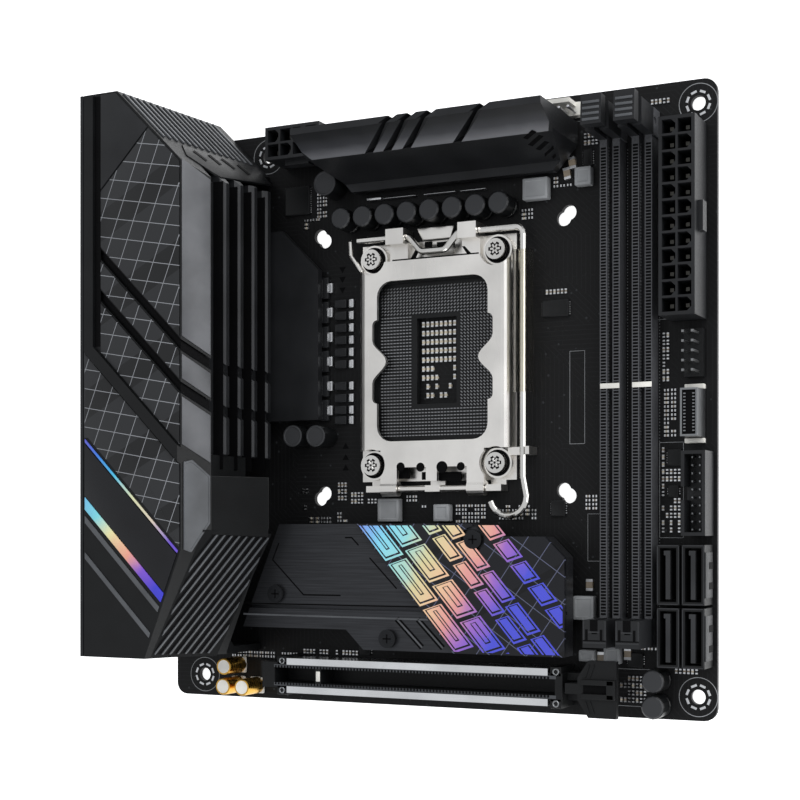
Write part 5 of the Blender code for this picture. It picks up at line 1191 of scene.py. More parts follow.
    def phases(self) -> Patch:
        """Models both columns of power parts beside the rear heatsink.

        Returns:
            The room that they take.
        """
        for name, box, rows, top, finish in (
                ("power_stages", self.stage, self.stage_rows, 1.2, PLUG_NYLON),
                ("stage_ends", self.stage_end, self.stage_rows, 1.35, TIN),
                ("power_links", self.link, self.link_rows, 1.3, PLUG_NYLON),
                ("link_ends", self.link_end, self.link_rows, 1.1, TIN)):
            piece = Bench.sink_top(Bench.tile(box, self.phase_foot, top, self.phase_bevel), *self.phase_sink)
            Bench.settle(Bench.copies(piece, [placed(0.0, y) for y in rows]), name, finish)
        south, north = self.phase_margins
        return Patch(self.stage.west, self.link_rows[-1] - south, self.link_end.east,
                     self.stage_rows[0] + north)

    def part(self, body: Finish) -> Piece:
        """Models one chip part with its two tinned ends, which stand out a little.

        Args:
            body: Finish between the ends.

        Returns:
            The part, around the origin.
        """
        half, deep, top, end = self.part_length / 2, self.part_width / 2, self.part_height, self.part_end
        middle = Bench.block((-half + end, -deep + SUNK, SUNK), (half - end, deep - SUNK, top - 0.03))
        parts = [Bench.paint(middle, body)]
        for low, high in ((-half, -half + end), (half - end, half)):
            parts.append(Bench.paint(Bench.block((low, -deep, 0.0), (high, deep, top)), TIN))
        return Bench.join(parts)

    def free_places(self, taken: Sequence[Patch], choice: random.Random) -> Iterator[Matrix]:
        """Yields a place for each small part that keeps clear of everything else.

        Args:
            taken: Footprints to keep clear of.
            choice: Seeded source of which spots stay empty.

        Yields:
            The place of one part.
        """
        for field in self.fields:
            upright = choice.random() < 0.5
            step_x, step_y = self.pitch_long, self.pitch_across
            half_x, half_y = self.part_length / 2, self.part_width / 2
            turn = 0.0
            if upright:
                step_x, step_y, half_x, half_y, turn = step_y, step_x, half_y, half_x, math.pi / 2
            for i in range(int((field.east - field.west) / step_x)):
                for j in range(int((field.north - field.south) / step_y)):
                    x, y = field.west + (i + 0.5) * step_x, field.south + (j + 0.5) * step_y
                    spot = Patch.around(x, y, half_x, half_y)
                    wanted = choice.random() < self.fill
                    if wanted and not any(spot.meets(other, self.clearance) for other in taken):
                        yield placed(x, y, turn=turn)


@dataclass
class Socket:
    """What shows in and around the processor socket."""

    centre: Spot = (4.9, 14.05)
    seat: float = 2.4
    seat_size: Spot = (35.6, 43.4)
    well_size: Spot = (12.4, 24.6)
    well_rim: float = 1.1
    contact_pitch: Spot = (1.0, 0.92)
    cap_columns: int = 8
    cap_rows: int = 5
    screw_span: Spot = (38.6, 59.4)
    ear_height: float = 3.8
    star_radius: float = 1.95
    ring_radius: float = 3.3
    plate_top: float = 6.1
    arches: tuple[Corner, ...] = ((-4.75, -16.3, 1.3), (1.5, -16.5, 1.3), (8.2, -16.6, 1.7),
                                  (14.0, -16.5, 1.2))
    frame_shades: tuple[Patch, ...] = (
        Patch(-6.4, -19.6, -3.1, -16.0), Patch(0.9, -20.0, 3.2, -17.8), Patch(6.2, -20.4, 13.1, -17.9),
        Patch(-8.5, 42.5, 18.5, 43.5))
    slivers: tuple[tuple[Spot, ...], ...] = (
        ((-2.9, 43.0), (-1.5, 43.0), (0.3, 46.6), (-0.6, 46.6)),
        ((15.2, 43.0), (16.6, 43.0), (14.2, 45.6), (13.4, 45.6)),
        ((1.8, 46.2), (4.0, 46.2), (4.0, 47.8), (1.8, 47.8)),
        ((5.6, 46.2), (11.0, 46.2), (11.0, 47.4), (5.6, 47.4)))
    rear_tab: tuple[Spot, ...] = ((0.7, 48.5), (9.6, 48.5), (10.7, 51.9), (-1.0, 52.0))
    side_tab: tuple[Corner, ...] = ((-21.8, 49.7, 4.0), (-21.6, 45.5, 4.0), (-17.8, 40.4, 4.0))

    def build(self) -> None:
        """Builds the contacts, the capacitors in the well, the screw drives and the plate's details."""
        x, y = self.centre
        wide, long = self.seat_size[0] / 2, self.seat_size[1] / 2
        inner, tall = self.well_size[0] / 2 + self.well_rim, self.well_size[1] / 2 + self.well_rim
        zones = ((Patch(x - wide, y + tall, x + wide, y + long), math.pi / 4),
                 (Patch(x - wide, y - long, x + wide, y - tall), 0.0),
                 (Patch(x - wide, y - tall, x - inner, y + tall), 0.0),
                 (Patch(x + inner, y - tall, x + wide, y + tall), -math.pi / 4))
        grids = []
        step_x, step_y = self.contact_pitch
        for zone, turn in zones:
            leaf = Bench.block((-0.32, -0.14, 0.0), (0.32, 0.14, 0.3),
                               cuts=[((0.0, 0.0, 0.3), (0.5, 0.0, 1.0))])
            leaf.data.transform(Matrix.Translation((zone.west + step_x / 2, zone.south + step_y / 2,
                                                    self.seat))
                                @ Matrix.Rotation(turn, 4, "Z"))
            Bench.row(leaf, int((zone.east - zone.west) / step_x), (step_x, 0.0, 0.0))
            grids.append(Bench.row(leaf, int((zone.north - zone.south) / step_y), (0.0, step_y, 0.0)))
        Bench.settle(grids, "socket_contacts", LEAF)
        self.well_parts()
        (dx, dy), high = self.screw_span, self.ear_height
        spots = [(x + sx * dx / 2, y + sy * dy / 2) for sx in (-1, 1) for sy in (-1, 1)]
        rings = [Bench.ring((*spot, high + 0.1), self.ring_radius, 0.42, 0.3) for spot in spots]
        top = Bench.node_box("clamp_screw_1")[1].z
        stars = [Bench.drive((*spot, top), self.star_radius, 1.0, 3) for spot in spots]
        Bench.settle(rings + stars, "clamp_screw_shadows", PAINTED_SHADE_AND_DARK_INK)
        cores = [Bench.drive((*spot, top + 0.05), self.star_radius * 0.72, 0.6, 3) for spot in spots]
        Bench.settle(cores, "clamp_screw_stars", BRIGHT)
        self.plate_details()

    def plate_details(self) -> None:
        """Builds the load plate's dark arches, painted shade in the openings behind them and north of it, and
        the frame's side tab.
        """
        arches = [Bench.can((x, y, self.plate_top - 0.05), radius, 0.1, 0.05, 24)
                  for x, y, radius in self.arches]
        Bench.settle(arches, "load_plate_arches", PAINTED_SHADE_AND_DARK_INK, Body.LOAD_PLATE)
        # Painted shade in the frame's openings, and a painted shadow along the load plate's north edge.
        gaps = [Bench.block((gap.west, gap.south, self.ear_height - 0.5),
                            (gap.east, gap.north, self.ear_height + 0.08))
                for gap in self.frame_shades]
        gaps += [Bench.plate(outline, self.ear_height - 0.5, self.ear_height + 0.08)
                 for outline in self.slivers]
        Bench.settle(gaps, "clamp_frame_shades", PAINTED_SHADE_AND_DARK_INK)
        tab = [Bench.bar(a, b, 1.1, 0.9, bevel=0.25) for a, b in zip(self.side_tab, self.side_tab[1:])]
        tab.append(Bench.plate(self.rear_tab, 2.4, 3.4, 0.3))
        Bench.settle(tab, "clamp_tabs", NICKEL)

    def well_parts(self) -> None:
        """Builds the capacitors on the board inside the socket's well."""
        x, y = self.centre
        wide, long = self.well_size
        step = (wide - 1.2) / self.cap_columns
        choice = random.Random(SEED + 1)
        rows = []
        for row in range(9):
            for column in range(self.cap_columns):
                if row >= self.cap_rows and choice.random() < 0.45:
                    continue
                rows.append(Matrix.Translation((x - wide / 2 + 0.6 + (column + 0.5) * step,
                                                y + long / 2 - 1.7 - row * 2.55, 0.0))
                            @ Matrix.Rotation(math.pi / 2, 4, "Z"))
        part = SmallParts(part_length=1.5, part_width=0.78, part_height=0.9, part_end=0.4).part(CREAM)
        Bench.settle(Bench.copies(part, rows), "well_capacitors", CREAM, keep_paint=True)


@dataclass
class MemorySlots:
    """Contact windows, keys and latch ribs of the two memory slots."""

    columns: tuple[float, float] = (57.5, 66.4)
    south: float = -57.0
    north: float = 69.2
    top: float = 6.0
    rail: float = 1.78
    pitch: float = 0.85
    key: float = 4.2
    latch_top: float = 22.0
    stop_top: float = 18.8
    rib_first: float = 71.8
    rib_pitch: float = 1.5

    def build(self) -> None:
        """Builds the windows of four rails, the white keys and the ribs on both latches."""
        count = int((self.north - self.south) / self.pitch)
        # The rails' windows are painted shade: sunk near-black sheets.
        rails = []
        for x in self.columns:
            for side in (-1, 1):
                window = Bench.block((-0.72, -0.28, -0.02), (0.72, 0.28, 0.03))
                middle = (x + side * self.rail, self.south, self.top)
                window.data.transform(Matrix.Translation(middle))
                rails.append(Bench.row(Bench.sink_top(window, 0.06, 0.02), count, (0.0, self.pitch, 0.0)))
        Bench.settle(rails, "slot_windows", PAINTED_SHADE_AND_DARK_INK)
        keys = [Bench.block((x - 2.7, self.key - 0.7, 5.7), (x + 2.7, self.key + 0.7, self.top + 0.15), 0.12)
                for x in self.columns]
        Bench.settle(keys, "slot_keys", WHITE_NYLON)
        self.contacts(count)
        self.stops()
        for x, body, letter in zip(self.columns, (Body.LATCH_A, Body.LATCH_B), "ab"):
            # The latch ribs are lighter grey for a painted highlight.
            rib = Bench.bar((x - 2.3, self.rib_first, self.latch_top - 0.25),
                            (x + 2.3, self.rib_first, self.latch_top - 0.25),
                            0.7, 0.5, bevel=0.15)
            Bench.row(rib, 4, (0.0, self.rib_pitch, -0.08))
            Bench.settle(rib, "latch_ribs_" + letter, RIB_SHEEN, body)


    def contacts(self, count: int) -> None:
        """Builds the contact tips in both grooves and the solder dots beside both slots.

        Args:
            count: How many tips there are in a row.
        """
        rows = []
        for x in self.columns:
            for low, high in (((x - 0.86, -0.17, 4.2), (x - 0.6, 0.17, 4.7)),
                              ((x + 2.95, -0.15, 0.0), (x + 3.2, 0.15, 0.06))):
                tip = Bench.block(low, high)
                tip.data.transform(Matrix.Translation((0.0, self.south + self.pitch / 2, 0.0)))
                rows.append(Bench.row(tip, count, (0.0, self.pitch, 0.0)))
        Bench.settle(rows, "slot_contacts", SHELL_TIN)

    def stops(self) -> None:
        """Builds the painted shade in the recesses and the painted highlights on the edges of the south
        stops' tops.
        """
        dark, pale = [], []
        for x in self.columns:
            for west, south, east, north in ((-1.2, -60.8, 0.9, -57.9), (-2.5, -63.2, -1.8, -60.4),
                                             (1.5, -63.2, 2.2, -60.4), (-3.1, -63.5, 3.1, -63.2)):
                dark.append(Bench.block((x + west, south, self.stop_top - 0.2),
                                        (x + east, north, self.stop_top + 0.04)))
            for side in (-1, 1):
                pale.append(Bench.bar((x + side * 2.95, -63.2, self.stop_top),
                                      (x + side * 2.95, -58.1, self.stop_top), 0.4, 0.06))
            pale.append(Bench.bar((x - 1.7, -61.1, self.stop_top), (x + 1.4, -61.1, self.stop_top), 0.4,
                                  0.06))
            pale.append(Bench.bar((x - 3.1, -63.9, self.stop_top), (x + 3.1, -63.9, self.stop_top), 0.4,
                                  0.06))
        Bench.settle(dark, "slot_stop_recesses", PAINTED_SHADE_AND_DARK_INK)
        Bench.settle(pale, "slot_stop_edge_highlights", NYLON_EDGE_HIGHLIGHT)


@dataclass
class ExpansionSlot:
    """Contacts, key and anchor rings of the expansion slot."""

    line: float = -76.78
    west: float = -43.2
    east: float = 43.4
    top: float = 10.8
    pitch: float = 1.0
    key: float = -29.1
    groove: float = 2.2
    wall: float = 3.1
    notch: float = 0.62
    paddle: float = 9.6
    anchors: tuple[Spot, ...] = ((-41.2, -72.6), (-41.2, -81.2), (43.9, -72.6), (43.9, -81.2))

    def build(self) -> None:
        """Builds the walls with their notches, the white key, the anchors and the latch's channel."""
        count = int((self.east - self.west) / self.pitch)
        walls, rows = [], []
        for side in (-1, 1):
            inner, outer = self.line + side * self.groove, self.line + side * self.wall
            walls.append(Bench.block((self.west - 0.6, min(inner, outer), self.top - 0.1),
                                     (self.east + 0.6, max(inner, outer), self.top + 0.06)))
            # The notches are near-black sheets of painted shade.
            notch = Bench.block((-0.27, -self.notch / 2, -0.05), (0.27, self.notch / 2, 0.1))
            notch.data.transform(Matrix.Translation((self.west, inner + side * self.notch / 2, self.top)))
            rows.append(Bench.row(notch, count, (self.pitch, 0.0, 0.0)))
        Bench.settle(walls, "card_walls", TEETH_NYLON)
        Bench.settle(rows, "card_notches", PAINTED_SHADE_AND_DARK_INK)
        key = Bench.block((self.key - 0.7, self.line - 1.5, 9.4),
                          (self.key + 0.7, self.line + 1.5, self.top + 0.1), 0.2)
        Bench.settle(key, "card_key", WHITE_NYLON)
        tabs = [Bench.block((x - 1.6, y - 1.3, 0.3), (x + 1.6, y + 1.3, self.top), 0.15)
                for x, y in self.anchors]
        Bench.settle(tabs, "anchor_tabs", NYLON)
        rings = [Bench.ring((x, y, self.top + 0.05), 0.75, 0.2, 0.5) for x, y in self.anchors]
        Bench.settle(rings, "anchor_rings", SHELL_TIN)
        self.latch_details()

    def latch_details(self) -> None:
        """Builds the raised frame, the dark channel and the wing lines on the card latch."""
        low, high = Bench.node_box("pcie_latch")
        y, top, east = self.line, high.z, high.x
        west = east - self.paddle
        frame = [Bench.block((west, y + side * 1.9 - 0.75, top - 0.2),
                             (east - 0.5, y + side * 1.9 + 0.75, top + 0.9), 0.2)
                 for side in (-1, 1)]
        frame.append(Bench.block((east - 2.6, y - 2.6, top - 0.2), (east - 0.2, y + 2.6, top + 0.9), 0.2))
        frame += [Bench.bar((west + 1.0 + step, y + side * 3.2, top),
                            (west + 2.2 + step, y + side * 6.6, top), 0.35, 0.3,
                            bevel=0.1) for side in (-1, 1) for step in (0.0, 1.3)]
        Bench.settle(frame, "card_latch_frame", NYLON, Body.CARD_LATCH)
        # The channel is a near-black sheet of painted shade.
        slot = Bench.block((west + 0.4, y - 1.15, top - 0.1), (east - 2.6, y + 1.15, top + 0.06))
        Bench.settle(slot, "card_latch_channel", PAINTED_SHADE_AND_DARK_INK, Body.CARD_LATCH)


@dataclass
class Plugs:
    """Keyed cells of the power plugs, and pins of the front headers."""

    pitch: float = 4.2
    wall: float = 0.6
    cell: float = 1.8
    corner: float = 1.15
    low: float = 1.7
    high: float = 12.76

    def build(self) -> None:
        """Builds the cell corners of both power plugs and the pins of the headers."""
        corners = []
        for node, columns, rows in (("atx_power_housing", 2, 12), ("cpu_power_housing", 4, 2)):
            low = Bench.node_box(node)[0]
            if node == "cpu_power_housing":
                low.y = Bench.node_box("cpu_power_pins")[0].y
            for i in range(columns):
                for j in range(rows):
                    if (i + j) % 2:
                        x, y = (low.x + self.wall + self.pitch * (i + 0.5),
                                low.y + self.wall + self.pitch * (j + 0.5))
                        corners += [self.cell_corner(x, y, 1, way) for way in (-1, 1)]
        Bench.settle(corners, "plug_cell_corners", PLUG_NYLON)
        low, high = Bench.node_box("usb3_header")
        self.pins("usb3_pins", ((low.x + high.x) / 2, low.y + 1.6), (2.0, (high.y - low.y - 3.2) / 9), 10,
                  6.0, SHELL_TIN)
        low, high = Bench.node_box("fan_header")
        x = low.x + 1.3
        pin = Bench.block((x - 0.32, low.y + 0.6, 2.8), (x + 0.32, low.y + 1.24, 9.5), 0.1)
        Bench.settle(Bench.row(pin, 4, (2.54, 0.0, 0.0)), "fan_pins", TIN)
        low, high = Bench.node_box("usb_c_header")
        tabs = [Bench.block((low.x - 0.5, y, 0.3), (high.x + 0.2, y + 1.3, 2.4), 0.2)
                for y in (low.y - 1.5, high.y + 0.2)]
        Bench.settle(tabs, "front_usb_tabs", WHITE_NYLON)
        # Painted shade: a near-black block inside the port's opening.
        inside = Bench.block((low.x + 0.5, low.y + 0.5, 2.0), (high.x - 0.5, high.y - 0.5, high.z - 0.35),
                             0.2)
        Bench.settle(inside, "front_usb_inside", PAINTED_SHADE_AND_DARK_INK)
        rows = []
        for x in (low.x + 1.1, high.x - 1.1):
            tooth = Bench.block((x - 0.3, low.y + 1.3, high.z - 0.5), (x + 0.3, low.y + 1.6, high.z - 0.2))
            rows.append(Bench.row(tooth, 12, (0.0, (high.y - low.y - 2.9) / 11, 0.0)))
        Bench.settle(rows, "front_usb_teeth", SHELL_TIN)
        self.storage_ports()

    def storage_ports(self) -> None:
        """Builds painted highlights on the storage ports' edges and blades and on the front two's walls, and
        painted shade in their notches.
        """
        pale, dark = [], []
        for number in (1, 2, 3, 4):
            low, high = Bench.node_box("sata_port_%d" % number)
            corners = [(low.x + 0.2, low.y + 0.2), (high.x - 0.2, low.y + 0.2), (high.x - 0.2, high.y - 0.2),
                       (low.x + 0.2, high.y - 0.2)]
            for a, b in zip(corners, [*corners[1:], corners[0]]):
                pale.append(Bench.bar((*a, high.z), (*b, high.z), 0.3, 0.05))
            x = (low.x + high.x) / 2
            pale.append(Bench.block((x - 0.6, low.y + 1.5, high.z - 0.2),
                                    (x + 0.6, high.y - 1.5, high.z + 0.03)))
            pale.append(Bench.block((x - 1.1, high.y - 2.7, high.z - 0.2),
                                    (x - 0.6, high.y - 1.5, high.z + 0.03)))
            if number % 2 == 0:
                pale.append(Bench.block((high.x - 0.1, low.y + 1.9, 1.5),
                                        (high.x + 0.3, high.y - 1.9, high.z - 0.3), 0.1))
                for y in (low.y + 5.0, low.y + 10.3):
                    dark.append(Bench.block((high.x + 0.1, y - 0.9, 1.4), (high.x + 0.4, y + 0.9, 5.2)))
        Bench.settle(pale, "storage_port_edge_highlights", NYLON_EDGE_HIGHLIGHT)
        Bench.settle(dark, "storage_port_notches", PAINTED_SHADE_AND_DARK_INK)

    def cell_corner(self, x: float, y: float, side: int, way: int) -> Piece:
        """Models the fillet that keys one corner of a plug's cell.

        Args:
            x: Middle of the cell.
            y: Middle of the cell.
            side: 1 for the front corner, -1 for the rear one.
            way: 1 for the north corner, -1 for the south one.

        Returns:
            The fillet.
        """
        far_x, far_y = x + side * self.cell, y + way * self.cell
        low = (min(far_x, far_x - side * self.corner), min(far_y, far_y - way * self.corner), self.low)
        high = (max(far_x, far_x - side * self.corner), max(far_y, far_y - way * self.corner), self.high)
        return Bench.block(low, high, cuts=[((far_x - side * self.corner, far_y, 0.0), (-side, -way, 0.0))])

    def pins(self, name: str, first: Spot, step: Spot, count: int, top: float, finish: Finish) -> None:
        """Builds two rows of square pins with pointed tips.

        Args:
            name: Name of the piece.
            first: Middle between the first pins of both rows.
            step: Distance between the rows and along them.
            count: Pins in a row.
            top: Height of the tips.
            finish: Finish of the pins.
        """
        rows = []
        for side in (-1, 1):
            x = first[0] + side * step[0] / 2
            pin = Bench.block((x - 0.3, first[1] - 0.3, 1.5), (x + 0.3, first[1] + 0.3, top), 0.12,
                              segments=1)
            rows.append(Bench.row(pin, count, (0.0, step[1], 0.0)))
        Bench.settle(rows, name, finish)


@dataclass
class Capacitors:
    """Can capacitors that aren't solids of the part."""

    black: tuple[Spot, ...] = ((-39.35, -6.6), (-31.6, -6.8))
    black_radius: float = 3.15
    black_height: float = 8.0
    tall: Spot = (-28.6, 66.8)
    tall_radius: float = 3.6
    gold: tuple[Spot, ...] = ((-62.1, -75.2), (-62.4, -81.2), (-55.8, -81.2))
    gold_radius: float = 2.5
    gold_height: float = 9.0

    def build(self) -> None:
        """Builds the black cans, the gold cans and the gold cans' pale tops."""
        cans = [Bench.can((x, y, 0.0), self.black_radius, self.black_height, 0.5) for x, y in self.black]
        cans.append(Bench.can((*self.tall, 0.0), self.tall_radius, self.black_height, 0.5))
        Bench.settle(cans, "black_cans", CAN)
        gold = [Bench.can((x, y, 0.6), self.gold_radius, self.gold_height, 0.5) for x, y in self.gold]
        Bench.settle(gold, "gold_cans", GOLD)
        tops = []
        for x, y in self.gold:
            disc = Bench.can((x, y, self.gold_height + 0.3), self.gold_radius * 0.8, 0.36, 0.2)
            tops.append(disc)
            base = Bench.block((x - 2.5, y - 2.5, 0.0), (x + 2.5, y + 2.5, 1.0), 0.5)
            tops.append(base)
        Bench.settle(tops, "gold_can_tops", WHITE_NYLON)


@dataclass
class RearCover:
    """Printed panels, face sheets, ribs and coloured strips of the tall rear cover."""

    top: float = 45.3
    panel: float = 0.35
    rear: float = -85.9
    west: float = -80.3
    east: float = -53.7
    north_line: float = 14.0
    seam_line: float = 142.0
    seam_gap: float = 0.7
    panel_lines: tuple[Spot, ...] = ((-46.1, -38.5), (-64.2, -50.3), (-92.8, -69.9))
    slot_lines: tuple[Spot, ...] = ((-49.7, -46.7), (-37.9, -34.9))
    slot_depth: Spot = (-1.3, -0.7)
    band_gap: Patch = Patch(-82.5, 17.8, -80.4, 89.0)
    rear_edge: Patch = Patch(-86.2, -8.0, -82.7, 89.4)
    main_south: float = -34.3
    band: Spot = (-110.4, -95.6)
    thin_strip: Spot = (-95.2, -94.2)
    thin_ends: tuple[Spot, Spot] = ((-85.9, -8.8), (-54.2, -40.3))
    thin_stops: tuple[str, ...] = ("#6a4fc0", "#3f7be0", "#4fc4e6", "#d9dcb0", "#d8c8b8", "#6a50c4")
    thick_strip: Spot = (-114.4, -110.8)
    thick_ends: tuple[Spot, Spot] = ((-85.9, -26.7), (-59.4, -53.2))
    thick_stops: tuple[str, ...] = ("#6fb4ea", "#7fd8e2", "#e9e2a8", "#e8a08c", "#7a52c8", "#3c3cc4")
    ridges: tuple[Spot, ...] = ((-118.2, -116.2), (-128.4, -126.6))
    south_edge: tuple[Spot, Spot] = ((-66.3, -70.49), (-54.1, -39.89))
    face_low: Corner = (-48.29, 0.0, 37.7)
    face_high: Corner = (-53.29, 0.0, 45.3)
    face_lines: tuple[Spot, ...] = ((-33.9, 15.2), (-45.7, -38.9), (-63.9, -50.7))
    plaque: tuple[Spot, ...] = ((-39.8, 8.4), (-40.6, 6.1), (-32.4, 0.4), (-19.3, 0.4), (-14.9, 5.8),
                                (-15.5, 8.4))
    fin_tops: tuple[float, ...] = (33.2, 25.6, 18.0, 10.4)
    north_ribs: int = 15
    corner_line: float = 15.0
    north_lean: float = 5.7 / 45.3
    north_pitch: float = 2.75
    north_band: tuple[Spot, ...] = ((-53.9, 41.2), (-58.3, 37.4), (-54.6, 4.0), (-48.6, 4.0), (-48.6, 33.0),
                                    (-50.0, 34.7))
    holes: tuple[tuple[Spot, Spot], ...] = (
        ((-56.6, 34.2), (-53.7, 32.0)), ((-56.1, 27.2), (-53.1, 25.6)), ((-55.5, 21.4), (-52.4, 19.1)),
        ((-54.2, 14.7), (-51.1, 13.0)))
    rib_area: tuple[Corner, ...] = (
        (-49.25, -35.39, 39.78), (-63.99, -69.28, 42.8), (-56.12, -69.85, 22.88), (-41.14, -36.5, 18.73))
    skirt: tuple[Corner, ...] = ((-48.2, -19.4, 37.5), (-48.2, -35.6, 37.5), (-40.3, -36.3, 20.1),
                                 (-40.3, -19.4, 20.1))
    rib_margin: float = 1.06
    rib_run: Corner = (20.1, 33.3, -16.8)
    rib_pitch: float = 2.63
    south_ribs: int = 12
    ribs_before_corner: int = 4

    def build(self) -> None:
        """Builds every piece on the cover."""
        seam = self.seam_line / 2
        north_side = ((-seam, seam, 0.0), (-1.0, 1.0, 0.0))
        south_side = ((-seam, seam + self.seam_gap, 0.0), (1.0, -1.0, 0.0))
        upper, middle, lower = self.panel_lines
        panels = [self.strip((self.main_south, self.north_line), [north_side]), self.strip(upper),
                  self.strip(middle), self.strip(lower, west=self.rear)]
        Bench.settle(panels, "cover_panels", PANEL_PRINT)
        Bench.settle(self.strip((self.main_south, self.north_line), [south_side]), "cover_corner_panel",
                     PLUG_NYLON)
        # Painted shade: near-black sheets in the band's gap and the two slots.
        gap = self.band_gap
        gaps = [Bench.block((gap.west, gap.south, self.top - 0.1), (gap.east, gap.north, self.top + 0.05))]
        gaps += [self.strip(lines, depth=self.slot_depth) for lines in self.slot_lines]
        Bench.settle(gaps, "cover_gap_shades", PAINTED_SHADE_AND_DARK_INK)
        Bench.settle(self.strip(self.band, west=self.rear), "cover_band", BAND_GLOSS)
        for name, lines, ends, stops in (("thin", self.thin_strip, self.thin_ends, self.thin_stops),
                                         ("thick", self.thick_strip, self.thick_ends, self.thick_stops)):
            film = ColourRun("interference_film_" + name, "printed_sheet", stops[0], 0.3, 0.1,
                               start=ends[0], end=ends[1], stops=stops)
            Bench.settle(self.strip(lines, west=self.rear), "cover_strip_" + name, film)
        # Painted highlight: a lighter rim along the cover's rear edge.
        edge = self.rear_edge
        rear = Bench.block((edge.west, edge.south, self.top - 0.1), (edge.east, edge.north, self.top + 0.2),
                           0.1)
        Bench.settle(rear, "cover_rear_edge_highlight", NYLON_EDGE_HIGHLIGHT)
        ridges = [self.strip(lines, west=self.rear) for lines in self.ridges]
        Bench.settle(ridges, "cover_ridges", RIDGE_PAINT)
        fins = [Bench.block((-54.0, -17.3, z - 0.1), (-47.2, 64.0, z + 0.03)) for z in self.fin_tops]
        Bench.settle(fins, "fin_shadows", PAINTED_SHADE_AND_DARK_INK)
        self.face_sheets()
        self.north_corner()
        self.south_corner()

    def strip(self, lines: Spot, cuts: Sequence[Cut] = (), west: float | None = None,
              depth: Spot | None = None) -> Piece:
        """Models a flat panel between two slanted lines on the cover's top.

        Args:
            lines: Values of x + y at the panel's south and north line.
            cuts: More planes that slice it.
            west: Its rear edge, where it isn't the panels' own.
            depth: Its lower and upper height above the cover's top, where they aren't the panels' own.

        Returns:
            The panel.
        """
        west = self.west if west is None else west
        low, high = (-0.1, self.panel) if depth is None else depth
        south, north = lines
        (x0, y0), (x1, y1) = self.south_edge
        slices = [((south, 0.0, 0.0), (-1.0, -1.0, 0.0)), ((north, 0.0, 0.0), (1.0, 1.0, 0.0)),
                  ((x0, y0, 0.0), (y1 - y0, x0 - x1, 0.0)), *cuts]
        return Bench.block((west, -70.0, self.top + low), (self.east, 89.2, self.top + high), 0.12, slices)

    def face_sheets(self) -> None:
        """Builds the sheets and slots on the leaning front face, and the blank plaque."""
        sheets = [self.on_face(lines, (-0.05, 0.3), 0.12) for lines in self.face_lines]
        Bench.settle(sheets, "cover_face_sheets", FACE_PAINT)
        # The slots on the face are near-black sheets of painted shade.
        slots = [self.on_face(lines, self.slot_depth, 0.0) for lines in self.slot_lines]
        Bench.settle(slots, "cover_face_gap_shades", PAINTED_SHADE_AND_DARK_INK)
        plaque = Bench.sink_top(Bench.plate(self.plaque, -0.05, 0.6, 0.2), 0.35, 0.15)
        low, high = Vector(self.face_low), Vector(self.face_high)
        Bench.settle(Bench.lay(plaque, low, (0.0, 1.0, 0.0), high - low), "cover_plaque", RIDGE_PAINT)

    def on_face(self, lines: Spot, depth: Spot, bevel: float) -> Piece:
        """Models a plate between two slanted lines on the leaning front face.

        Args:
            lines: Values of x + y at the plate's south and north line.
            depth: Its lower and upper height above the face.
            bevel: Width of the bevel on every edge.

        Returns:
            The plate.
        """
        low, high = Vector(self.face_low), Vector(self.face_high)
        south, north = lines
        tall = (high - low).length
        outline = [(south - high.x, tall - 0.25), (south - low.x, 0.25), (north - low.x, 0.25),
                   (north - high.x, tall - 0.25)]
        return Bench.lay(Bench.plate(outline, *depth, bevel), low, (0.0, 1.0, 0.0), high - low)

    def north_corner(self) -> None:
        """Builds the level ribs on the north corner in painted highlight, the smooth band beside them and its
        holes in painted shade.
        """
        facing = (1.0, 1.0, self.north_lean)
        ribs = []
        for number in range(self.north_ribs):
            z = 43.4 - number * self.north_pitch
            far = -60.2 + (43.4 - z) * 0.13
            near = self.on_corner(far, z)
            ribs.append(Bench.bar((far + near.y - 89.2, 89.2, z), near, 0.8, 0.5, facing, 0.15))
        Bench.settle(ribs, "cover_north_ribs", RIB_SHEEN)
        band = Bench.facet([self.on_corner(*spot) for spot in self.north_band], -0.3, 0.25, 0.05)
        Bench.settle(band, "cover_north_band", COVER_ABS)
        holes = [Bench.bar(self.on_corner(*a), self.on_corner(*b), 1.7, 0.45, facing) for a, b in self.holes]
        Bench.settle(holes, "cover_north_holes", PAINTED_SHADE_AND_DARK_INK)

    def on_corner(self, x: float, z: float) -> Vector:
        """Returns the place on the leaning north corner with an x and a z."""
        return Vector((x, self.corner_line + (self.top - z) * self.north_lean - x, z))

    def south_corner(self) -> None:
        """Builds the slanted ribs on the south corner in painted highlight, each with a groove of painted
        shadow beside it.
        """
        corner, below = Vector(self.rib_area[1]), Vector(self.rib_area[2])
        run, step = Vector(self.rib_run), (below - corner).normalized() * self.rib_pitch
        facing = (corner - Vector(self.rib_area[0])).cross(below - corner)
        bounds = Bench.edges(self.rib_area)
        ribs, grooves = [], []
        for number in range(self.south_ribs):
            start = corner + step * (number - self.ribs_before_corner)
            for found, offset, width, rise in ((ribs, 0.0, 0.5, 0.4), (grooves, -0.3, 1.0, 0.06)):
                middle = start + step * offset
                found.append(Bench.trim(Bench.bar(middle - run, middle + run * 2, width, rise, facing),
                                        bounds))
        Bench.settle(ribs, "cover_south_ribs", RIB_SHEEN)
        Bench.settle(grooves, "cover_south_grooves", PAINTED_SHADE_AND_DARK_INK)
        spots = [Vector(spot) for spot in self.rib_area]
        middle = sum(spots, Vector()) / len(spots)
        base = Bench.facet([middle + (spot - middle) * self.rib_margin for spot in spots], -0.3, 0.03)
        sheets = [base, Bench.facet(self.skirt, -0.3, 0.05)]
        Bench.settle(sheets, "cover_dull_faces", DULL_ABS)


